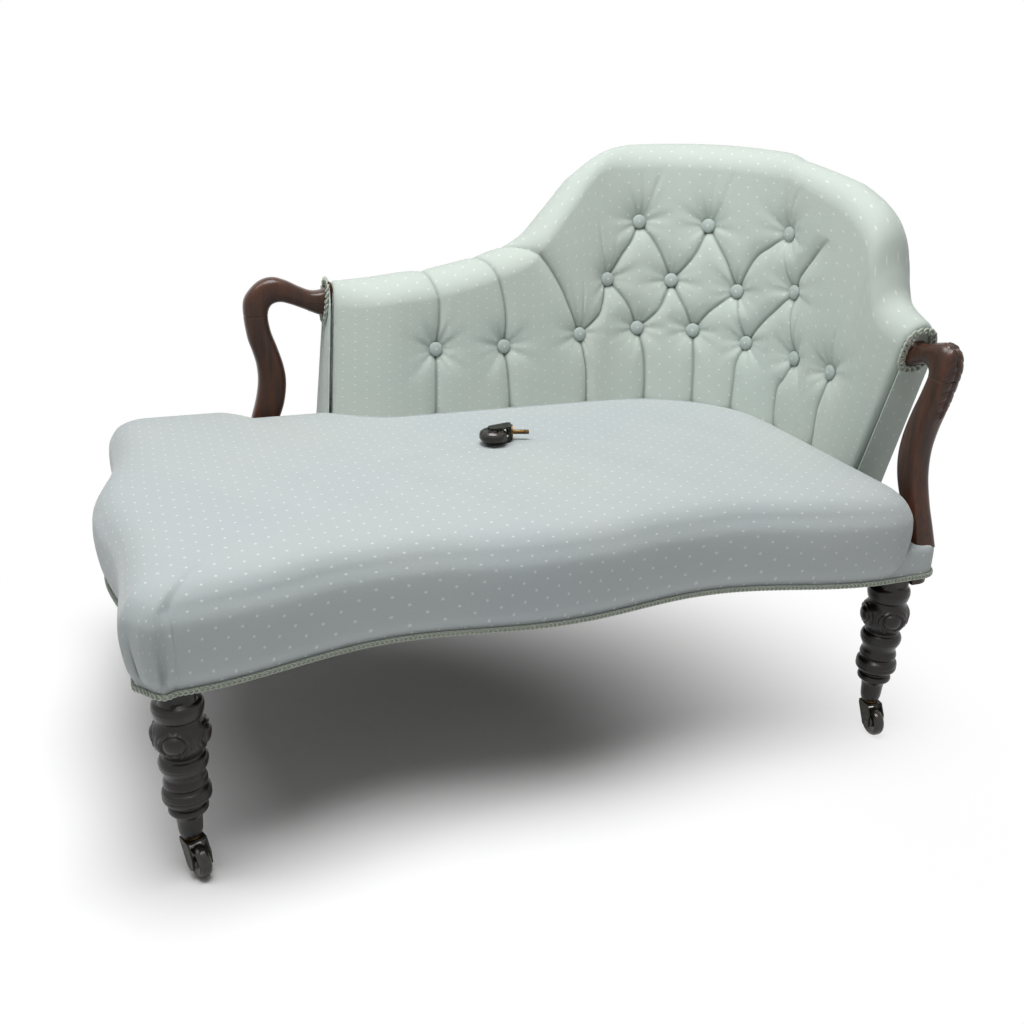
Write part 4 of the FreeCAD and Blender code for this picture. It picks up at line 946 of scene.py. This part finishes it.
def railPlan():
    return planLine(seat["ledgeX"], seat["ledgeRound"], back["outerSide"], back["outerRear"], seat["footEnd"],
                    seat["footEnd"] - seat["ledgeSlope"], seat["backCorner"])


def underBack(line):
    # true where the line runs under the back
    return ((line[:, 0] > seat["footEnd"] + 0.002) & (line[:, 1] > 0.3)) | \
           ((line[:, 0] > 0.3) & (line[:, 1] > seat["wingEnd"] + 0.002))


ledge = {
    "sections": [(0.2685, 0.0), (0.290, 0.0), (0.306, 0.0004), (0.313, 0.0022), (0.3165, 0.006),
                 (0.3172, 0.012), (0.3172, 0.075)],
    "hidden": 0.0045, "wall": 0.003,
}


def ledgeCover():
    # the cloth over the rails, seen beside the arms
    line, around = evenly(railPlan(), 700, closed=True)
    profile, _ = evenly(smoothLine(ledge["sections"], 120), 30)
    cover, k, row = roundSheet("ledgeCover", line, len(profile) - 1)
    height, inset = profile[row].T
    setUv(cover, k / len(line) * around, height + inset)
    inset = inset + ledge["hidden"] * underBack(line)[k]
    setPoints(cover, np.column_stack([line[k] - outwards(line)[k] * inset[:, None], height]))
    editMesh(cover, weld, turnOut)
    applyModifier(cover, "SOLIDIFY", thickness=ledge["wall"], offset=-1)
    smooth(cover)
    return cover


ledgePiece = ledgeCover()
dress(ledgePiece, seatCloth, "seat_fabric", "seat_pad")
print("ledges covered")


# braid: overlapping loops on a band, along the foot of the seat and round the arms' roots

braid = {
    "loop": 0.0031, "wire": 0.00115, "pitch": 0.0062, "proud": 0.0014, "longer": 1.12, "tilt": 0.0009,
    "height": 0.2722, "off": 0.0004,
    "bandLow": 0.2690, "bandHigh": 0.0064, "bandOff": 0.0003, "bandSwell": 0.0007, "bandThick": 0.0008,
    "rootBold": 1.45, "rootOff": 0.0056, "rootSquare": 0.7,
}


def braidAlong(name, line, ups, outs, bold=1.0):
    # ups and outs: the braid's own upward and outward directions at each point of the closed line
    tables = [np.vstack([table, table[:1]]) for table in (line, ups, outs)]
    steps = np.linalg.norm(np.diff(tables[0], axis=0), axis=1)
    length = np.concatenate([[0], np.cumsum(steps)])
    count = int(length[-1] / (braid["pitch"] * bold))
    pitch = length[-1] / count
    deselectAll()
    bpy.ops.mesh.primitive_torus_add(major_segments=14, minor_segments=6, major_radius=braid["loop"] * bold,
                                     minor_radius=braid["wire"] * bold ** 1.5)
    made = named(name)
    flat = points(made)
    flat[:, 0] *= braid["longer"]
    flat[:, 2] += braid["tilt"] * flat[:, 0] / braid["loop"]
    setPoints(made, flat)
    applyModifier(made, "ARRAY", count=count, use_relative_offset=False, use_constant_offset=True,
                  constant_offset_displace=(0, 0, 0))
    p = points(made)
    at = ((np.arange(len(p)) // len(flat)) * pitch + p[:, 0] + pitch / 2) % length[-1]
    where, up, out = (np.stack([np.interp(at, length, values) for values in table.T], axis=1)
                      for table in tables)
    setPoints(made, where + up * p[:, 1:2] + out * (p[:, 2:3] + braid["proud"]))
    smooth(made)
    return made


def seatBraid():
    line, _ = evenly(railPlan(), 900, closed=True)
    out, level = outwards(line), np.zeros(len(line))
    return braidAlong("seatBraid", np.column_stack([line + out * braid["off"], level + braid["height"]]),
                      np.tile([0, 0, 1], (len(line), 1)), np.column_stack([out, level]))


def braidRibbon():
    # the woven band behind the loops
    line, _ = evenly(railPlan(), 700, closed=True)
    rows = 4
    band, k, row = roundSheet("braidRibbon", line, rows)
    off = braid["bandOff"] + braid["bandSwell"] * np.sin(row / rows * math.pi)
    height = braid["bandLow"] + braid["bandHigh"] * row / rows
    setPoints(band, np.column_stack([line[k] + outwards(line)[k] * off[:, None], height]))
    editMesh(band, weld, turnOut)
    applyModifier(band, "SOLIDIFY", thickness=braid["bandThick"], offset=1)
    return band


# the ring round each arm's root: its reach across and in height, the end of the back it lies on, its way out
roots = {
    "rear": ((0.3082, 0.3530), (0.5485, 0.6145), back["footEnd"], back["footRake"], (-0.995, 0, 0.0995)),
    "side": ((0.5322, 0.5780), (0.5580, 0.6168), back["wingEnd"], -back["wingRake"], (0, -0.963, -0.27)),
}


def rootBraid(side):
    across, high, end, rake, out = roots[side]
    cosine, sine = rounded(np.linspace(0, 2 * math.pi, 33)[:-1], braid["rootSquare"])
    wide = sum(across) / 2 + (across[1] - across[0]) / 2 * cosine
    height = sum(high) / 2 + (high[1] - high[0]) / 2 * sine
    there = end - braid["rootOff"] + rake * (height - back["seatLine"])
    ring = np.column_stack([there, wide, height] if side == "rear" else [wide, there, height])
    ring, _ = evenly(smoothLine(np.vstack([ring, ring[:1]]), 200), 160, closed=True)
    up = np.cross(np.roll(ring, -1, axis=0) - np.roll(ring, 1, axis=0), out)
    up /= np.linalg.norm(up, axis=1, keepdims=True)
    return braidAlong(side + "RootBraid", ring, up, np.tile(out, (len(ring), 1)), bold=braid["rootBold"])


for loops in (seatBraid(), braidRibbon()):
    dress(loops, braidCloth, "gimp", "seat_gimp")
print("braid sewn")


# arms: shaped bars, each drawn as its outer and its inner line from the foot to the root

arms = {
    "thick": 0.018, "squareness": 2.7, "samples": 56, "step": 0.0016, "easeRun": 0.0012, "ease": 0.0006,
    "rearPlane": 0.3305, "rearFrom": -0.210, "sidePlane": 0.555, "sideFrom": -0.1915,
    "rearOuter": [(-142, 312), (-133, 350), (-123, 385), (-113, 419), (-108, 450), (-109, 477), (-114, 499),
                  (-121, 524), (-125, 561), (-123, 587), (-110, 606), (-93, 619), (-73, 623), (-52, 617),
                  (-30, 606), (-12, 599), (4, 599), (14, 604), (20, 613), (31, 600)],
    "rearInner": [(-116, 312), (-96, 345), (-77, 380), (-66, 410), (-61, 445), (-64, 475), (-73, 507),
                  (-82, 535), (-85, 561), (-79, 577), (-65, 582), (-48, 578), (-28, 570), (-3, 559),
                  (15, 553)],
    "rearKeys": ((0, 8, 12, 16, 19), (0, 8, 10, 12, 14)),
    "sideOuter": [(-152, 312), (-141, 340), (-128, 371), (-116, 410), (-113, 447), (-118, 480), (-127, 511),
                  (-135, 545), (-139, 561), (-142, 580), (-139, 596), (-130, 607), (-116, 611), (-101, 609),
                  (-83, 603), (-68, 600), (-57, 603), (-47, 612), (-36, 620), (-22, 621), (-12, 614),
                  (-8, 602)],
    "sideInner": [(-128, 312), (-109, 338), (-88, 368), (-73, 398), (-66, 430), (-68, 462), (-78, 500),
                  (-91, 535), (-99, 561), (-96, 571), (-85, 575), (-69, 570), (-48, 563), (-36, 565),
                  (-23, 577)],
    "sideKeys": ((0, 8, 12, 15, 21), (0, 8, 10, 12, 14)),
}
# the leaf's places run along the side arm from its foot; "scroll" is where the upper bar begins
leaf = {
    "start": 0.190, "end": 0.330, "wide": 0.0155, "high": 0.0024, "softEdge": 0.0016, "scallops": 19,
    "vein": 0.0011, "lobe": 0.0165, "slant": 0.9, "lobeFrom": 0.0015, "scroll": 0.260,
}
knob = {
    "along": -0.029, "height": 0.597, "radius": 0.021, "winding": 0.0085, "line": 0.17, "eye": 0.003,
    "faceFrom": 0.009, "faceFade": 0.004, "swell": 0.0016, "deep": 0.0019,
}


def armLines(side, first, last):
    outer, inner = np.array(arms[side + "Outer"]) / 1000, np.array(arms[side + "Inner"]) / 1000
    outerKeys, innerKeys = arms[side + "Keys"]
    outerRun, innerRun = [], []
    for stage in range(first, last):
        bothRuns = []
        for line, keys in ((outer, outerKeys), (inner, innerKeys)):
            dense = smoothLine(line, (len(line) - 1) * 12 + 1)
            bothRuns.append(dense[keys[stage] * 12:keys[stage + 1] * 12 + 1])
        count = int(np.linalg.norm(np.diff(bothRuns[0], axis=0), axis=1).sum() / arms["step"])
        for run, made in zip(bothRuns, (outerRun, innerRun)):
            steps, _ = evenly(run, max(count, 8))
            made.append(steps if stage == last - 1 else steps[:-1])
    return np.vstack(outerRun), np.vstack(innerRun)


def leafCarving(u, v, high):
    # a pointed leaf laid over the bend, with a middle vein and slanting lobes
    share = np.clip((u - leaf["start"]) / (leaf["end"] - leaf["start"]), 0, 1)
    half = leaf["wide"] * np.sqrt(np.clip(1 - (2 * share - 1) ** 2, 0, 1))
    half = half * (0.86 + 0.14 * np.abs(np.sin(share * leaf["scallops"])))
    inside = np.clip((half - np.abs(v)) / leaf["softEdge"], 0, 1) * high
    wave = np.cos((u + leaf["slant"] * np.abs(v)) * 2 * math.pi / leaf["lobe"])
    lobes = 0.7 * np.clip(wave * 1.6 - 0.75, 0, 1) * (np.abs(v) > leaf["lobeFrom"])
    groove = np.maximum(np.exp(-(v / leaf["vein"]) ** 2), lobes)
    return inside * leaf["high"] * (1 - groove), inside * groove * 0.7


def knobCarving(along, height, v):
    # a scroll wound on both faces of the root
    x, z = along - knob["along"], height - knob["height"]
    rho = np.hypot(x, z)
    wound = np.abs((rho / knob["winding"] - np.arctan2(z, x) / (2 * math.pi)) % 1 - 0.5)
    onFace = np.clip((np.abs(v) - knob["faceFrom"]) / knob["faceFade"], 0, 1) * (rho < knob["radius"])
    groove = np.clip(1 - wound / knob["line"], 0, 1) * onFace * (rho > knob["eye"])
    swell = knob["swell"] * onFace * np.sqrt(np.clip(1 - (rho / knob["radius"]) ** 2, 0, 1))
    return swell - knob["deep"] * groove, groove


def shapedArm(name, side, first, last):
    outer, inner = armLines(side, first, last)
    end = len(outer) - 1
    bar, across, up = gridSheet(name, arms["samples"], end)
    row = np.rint(up * end).astype(int)
    sx, sz = rounded(across * 2 * math.pi, 2 / arms["squareness"])
    fromStart, fromEnd = row * arms["step"], (end - row) * arms["step"]
    ease = np.where((fromStart if first else fromEnd) < arms["easeRun"], arms["ease"], 0.0)
    middle, half = (outer + inner)[row] / 2, (outer - inner)[row] / 2
    flat = middle + half * sx[:, None]
    v = arms["thick"] * sz
    raised, carved = 0 * v, 0 * v
    if side == "side":
        raised, carved = leafCarving(fromStart + (leaf["scroll"] if first else 0.0), v,
                                     np.clip((sx - 0.25) / 0.3, 0, 1))
        if first:
            lift, groove = knobCarving(flat[:, 0], flat[:, 1], v)
            carved = np.maximum(carved, groove)
            v = v + np.sign(v) * lift
    out = half / np.linalg.norm(half, axis=1, keepdims=True)
    flat = flat + out * ((raised - ease) * np.sign(sx) * np.abs(sx) ** 1.7)[:, None]
    v = v - np.sign(v) * np.minimum(ease, np.abs(v))
    there, height = arms[side + "From"] + flat[:, 0], flat[:, 1]
    wide = arms[side + "Plane"] + v
    setPoints(bar, np.column_stack([there, wide, height] if side == "rear" else [wide, there, height]))
    # the carved attribute carries painted shade for the leaf's vein and lobes and the knob's scroll groove
    addAttribute(bar, "carved", carved)
    closeMesh(bar, angle=40)
    return bar


for side in ("rear", "side"):
    dress(shapedArm(side + "ArmPost", side, 0, 1), armWood, "show_wood", side + "_arm_support")
    dress(shapedArm(side + "ArmScrollCarved", side, 1, 4), armWood, "show_wood", side + "_arm_scroll")
for side in ("rear", "side"):
    dress(rootBraid(side), braidCloth, "gimp", "seat_gimp")
print("arms shaped and carved")


# legs: turned, with four carved ovals on the bulb, square where the rails join

legs = {
    "profile": [(13, 53), (15, 62), (17, 84), (24, 92), (24, 98), (20, 103), (29, 110), (30, 118),
                (29, 124), (24, 129), (27, 134), (26, 140), (24, 146), (29, 158), (30, 165), (28, 171),
                (24, 176), (32, 190), (34, 203), (33, 214), (26, 225), (29, 230), (31, 240), (30, 247),
                (26, 251)],
    "bore": 0.0037, "boreTop": 0.083, "blockHalf": 0.022, "blockRound": 0.012, "blockLow": 0.254,
    "blockTop": 0.310, "facing": -108,
    "lines": (0.1165, 0.1215, 0.1615, 0.2435), "lineWide": 0.0007, "lineDeep": 0.0006,
    "boreLip": 0.0005, "end": ((0.0122, 0.0), (0.0128, 0.0003)), "blockRows": (0.270, 0.290),
    "places": {"front_left": (-0.513, -0.3245), "front_right": (0.513, -0.3245),
               "rear_left": (-0.513, 0.2765), "rear_right": (0.337, 0.2765)},
}
# an oval: rings and moats are (share of the full height, distance from the middle, width)
oval = {
    "middle": 0.202, "halfHigh": 0.0185, "halfWide": 0.0225, "legRadius": 0.034,
    "dome": 0.0034, "domeEdge": 0.62,
    "rings": ((0.0017, 0.86, 0.085), (0.0008, 1.12, 0.07)), "moats": ((1, 0.69, 0.06), (0.6, 1.0, 0.05)),
    "moatDeep": 0.0011, "sunk": 0.0006, "reach": 0.0215, "fade": 0.003,
}


def inQuarter(turn):
    # how far a turn is from the nearest quarter
    return (turn + math.pi / 4) % (math.pi / 2) - math.pi / 4


def ridges(value, rows):
    return sum(size * np.exp(-((value - at) / wide) ** 2) for size, at, wide in rows)


def roundedSquare(turn):
    # reach of a rounded square in each direction
    half, corner = legs["blockHalf"], legs["blockRound"]
    fold = np.abs(inQuarter(turn))
    straight = half / np.cos(fold)
    inner, tilt = half - corner, math.pi / 4 - fold
    centre = inner * math.sqrt(2)
    bend = centre * np.cos(tilt) + np.sqrt(np.maximum(corner ** 2 - (centre * np.sin(tilt)) ** 2, 0))
    return np.where(straight * np.sin(fold) > inner, bend, straight)


def turnedLeg(name, x, y):
    turned = smoothLine(np.array(legs["profile"]) / 1000, 24 * 6 + 1)
    foot = turned[0, 1]
    low = [(legs["bore"], legs["boreTop"]), (legs["bore"], foot + legs["boreLip"])]
    low += [(reach, foot + rise) for reach, rise in legs["end"]]
    profile = np.vstack([low, turned[1:]])
    block = np.array([legs["blockLow"], *legs["blockRows"], legs["blockTop"]])
    rows = len(profile) + len(block)
    leg, across, up = gridSheet(name, 120, rows - 1)
    row = np.rint(up * (rows - 1)).astype(int)
    turn = across * 2 * math.pi
    onBlock = row >= len(profile)
    r, z = profile[np.minimum(row, len(profile) - 1)].T
    r = np.where(onBlock, roundedSquare(turn), r)
    z = np.where(onBlock, block[np.maximum(row - len(profile), 0)], z)
    away = inQuarter(turn - math.radians(legs["facing"]))
    rise = z - oval["middle"]
    rho = np.hypot(away * oval["legRadius"] / oval["halfWide"], rise / oval["halfHigh"])
    dome = oval["dome"] * np.sqrt(np.clip(1 - (rho / oval["domeEdge"]) ** 2, 0, 1))
    moat = ridges(rho, oval["moats"])
    near = np.clip((oval["reach"] - np.abs(rise)) / oval["fade"], 0, 1)
    r = r + near * (dome + ridges(rho, oval["rings"]) - oval["moatDeep"] * moat - oval["sunk"])
    lines = ridges(z, [(1, at, legs["lineWide"]) for at in legs["lines"]])
    r = r - legs["lineDeep"] * lines * ~onBlock
    setPoints(leg, np.stack([x + r * np.cos(turn), y + r * np.sin(turn), z], axis=1))
    # the carved attribute carries painted shade in the ovals' moats and the turned lines
    addAttribute(leg, "carved", np.clip(near * moat * 0.8 + lines * 0.7, 0, 1))
    closeMesh(leg, angle=38)
    return leg


for place, (x, y) in legs["places"].items():
    dress(turnedLeg(place + "LegTurned", x, y), legWood, "show_wood", place + "_leg")
print("legs turned")


# cloth under the seat

dust = {"inset": 0.011, "height": 0.2645, "thick": 0.001}


def dustSheet():
    line, _ = evenly(railPlan(), 260, closed=True)
    flat = line - outwards(line) * dust["inset"]
    made = plate("dustSheet", np.column_stack([flat, np.full(len(flat), dust["height"])]))
    applyModifier(made, "SOLIDIFY", thickness=dust["thick"], offset=1)
    return made


dress(dustSheet(), dustCloth, "hessian", "dust_cover")
print("dust sheet laid")


# finishes of the pieces carried over from the construction

carried = (
    (wheelGloss, ("_wheel",)), (hornMetal, ("_horn",)), (brass, ("_stem", "_pin")),
    (jute, ("_webbing", "_twines")), (hessian, ("seat_hessian", "back_canvas")), (dustCloth, ("dust_cover",)),
    (springSteel, ("seat_springs",)),
    (railWood, ("_rail", "_post", "_batten", "_braces", "_dowels", "post_rear", "post_side", "post_left",
                "post_right")),
)
for name, node in nodes.items():
    for finish, endings in carried:
        if name.endswith(endings):
            node.data.materials.clear()
            node.data.materials.append(finish)
print("construction finished")


# stage, light, camera

stage = {
    "cameraAt": (-0.52704, -1.46606, 0.9396), "pitch": 22.3, "roll": -1.6, "yaw": 20.7, "lens": 37.27,
    "ambient": 0.17, "floor": (0.95, 0.95, 0.95, 1),
    "shadowMiddle": (-0.50, -0.20, 0), "shadowScale": (0.75, 1.0, 0), "shadowFade": (0.38, 0.98),
}
lamps = {
    "keyLamp": {"place": (-0.35, -0.25, 3.0), "aim": (0, 0.05, 0.4), "size": 1.7, "power": 90},
    "sideLamp": {"place": (-1.7, 0.1, 2.6), "aim": (0.5, 0.1, 0.6), "size": 0.8, "power": 9},
}


def cameraTurn():
    pitch, roll, yaw = (math.radians(stage[key]) for key in ("pitch", "roll", "yaw"))
    ahead = Vector((math.sin(yaw), math.cos(yaw), 0))
    side = Vector((math.cos(yaw), -math.sin(yaw), 0))
    up = Vector((0, 0, 1))
    forward = ahead * math.cos(pitch) - up * math.sin(pitch)
    down = -(ahead * math.sin(pitch) + up * math.cos(pitch))
    right = side * math.cos(roll) + down * math.sin(roll)
    lower = -side * math.sin(roll) + down * math.cos(roll)
    return Matrix((right, -lower, -forward)).transposed().to_4x4()


cameraData = bpy.data.cameras.new("camera")
cameraData.lens = stage["lens"]
cameraData.sensor_width = 36
camera = bpy.data.objects.new("camera", cameraData)
bpy.context.scene.collection.objects.link(camera)
camera.matrix_world = Matrix.Translation(stage["cameraAt"]) @ cameraTurn()
bpy.context.scene.camera = camera

deselectAll()
bpy.ops.mesh.primitive_plane_add(size=60, location=(0, 0, 0))
floor = bpy.context.object
floor.name = "floor"
floorFinish = Finish("floorWhite", Roughness=0.9)
floorFinish.shader.inputs["Base Color"].default_value = stage["floor"]


def seenRay(finish):
    # 1 for what the camera sees, straight or in a reflection
    straight = finish.node("ShaderNodeLightPath")
    glossy = finish.node("ShaderNodeLightPath", output="Is Glossy Ray")
    through = finish.node("ShaderNodeLightPath", output="Is Transmission Ray")
    settings = {"operation": "ADD", "use_clamp": True}
    return finish.node("ShaderNodeMath", settings, {0: straight + glossy, 1: through})


def whiteBeyond(finish):
    # past the object's shadow the floor runs out into plain white
    kind = "ShaderNodeVectorMath"
    spot = finish.node(kind, {"operation": "SUBTRACT"}, {0: finish.here(), 1: stage["shadowMiddle"]})
    flat = finish.node(kind, {"operation": "MULTIPLY"}, {0: spot, 1: stage["shadowScale"]})
    away = finish.node(kind, {"operation": "LENGTH"}, {0: flat}, output=1)
    fade = finish.spread(away, *stage["shadowFade"], interpolation_type="SMOOTHSTEP")
    glow = finish.node("ShaderNodeEmission", {}, {"Color": (1, 1, 1, 1), "Strength": 1.0})
    plain = Value(finish, finish.shader.outputs[0])
    mixed = finish.node("ShaderNodeMixShader", {}, {0: fade * seenRay(finish), 1: plain, 2: glow})
    finish.tree.links.new(mixed.socket, finish.tree.nodes["Material Output"].inputs["Surface"])


whiteBeyond(floorFinish)
floor.data.materials.append(floorFinish.material)

world = bpy.data.worlds.new("studio")
bpy.context.scene.world = world
world.use_nodes = True
air = Finish("air", world.node_tree)
brightness = {"Value": seenRay(air), "To Min": stage["ambient"], "To Max": 1.0}
strength = air.node("ShaderNodeMapRange", {}, brightness)
sky = world.node_tree.nodes["Background"].inputs
sky["Color"].default_value = (1, 1, 1, 1)
world.node_tree.links.new(strength.socket, sky["Strength"])


def lamp(name, place, aim, size, power):
    data = bpy.data.lights.new(name, "AREA")
    data.shape = "SQUARE"
    data.size = size
    data.energy = power
    made = bpy.data.objects.new(name, data)
    bpy.context.scene.collection.objects.link(made)
    made.location = place
    made.rotation_euler = (Vector(aim) - Vector(place)).to_track_quat("-Z", "Y").to_euler()


for name, settings in lamps.items():
    lamp(name, **settings)
bpy.context.scene.view_settings.view_transform = "Standard"
print("stage set")
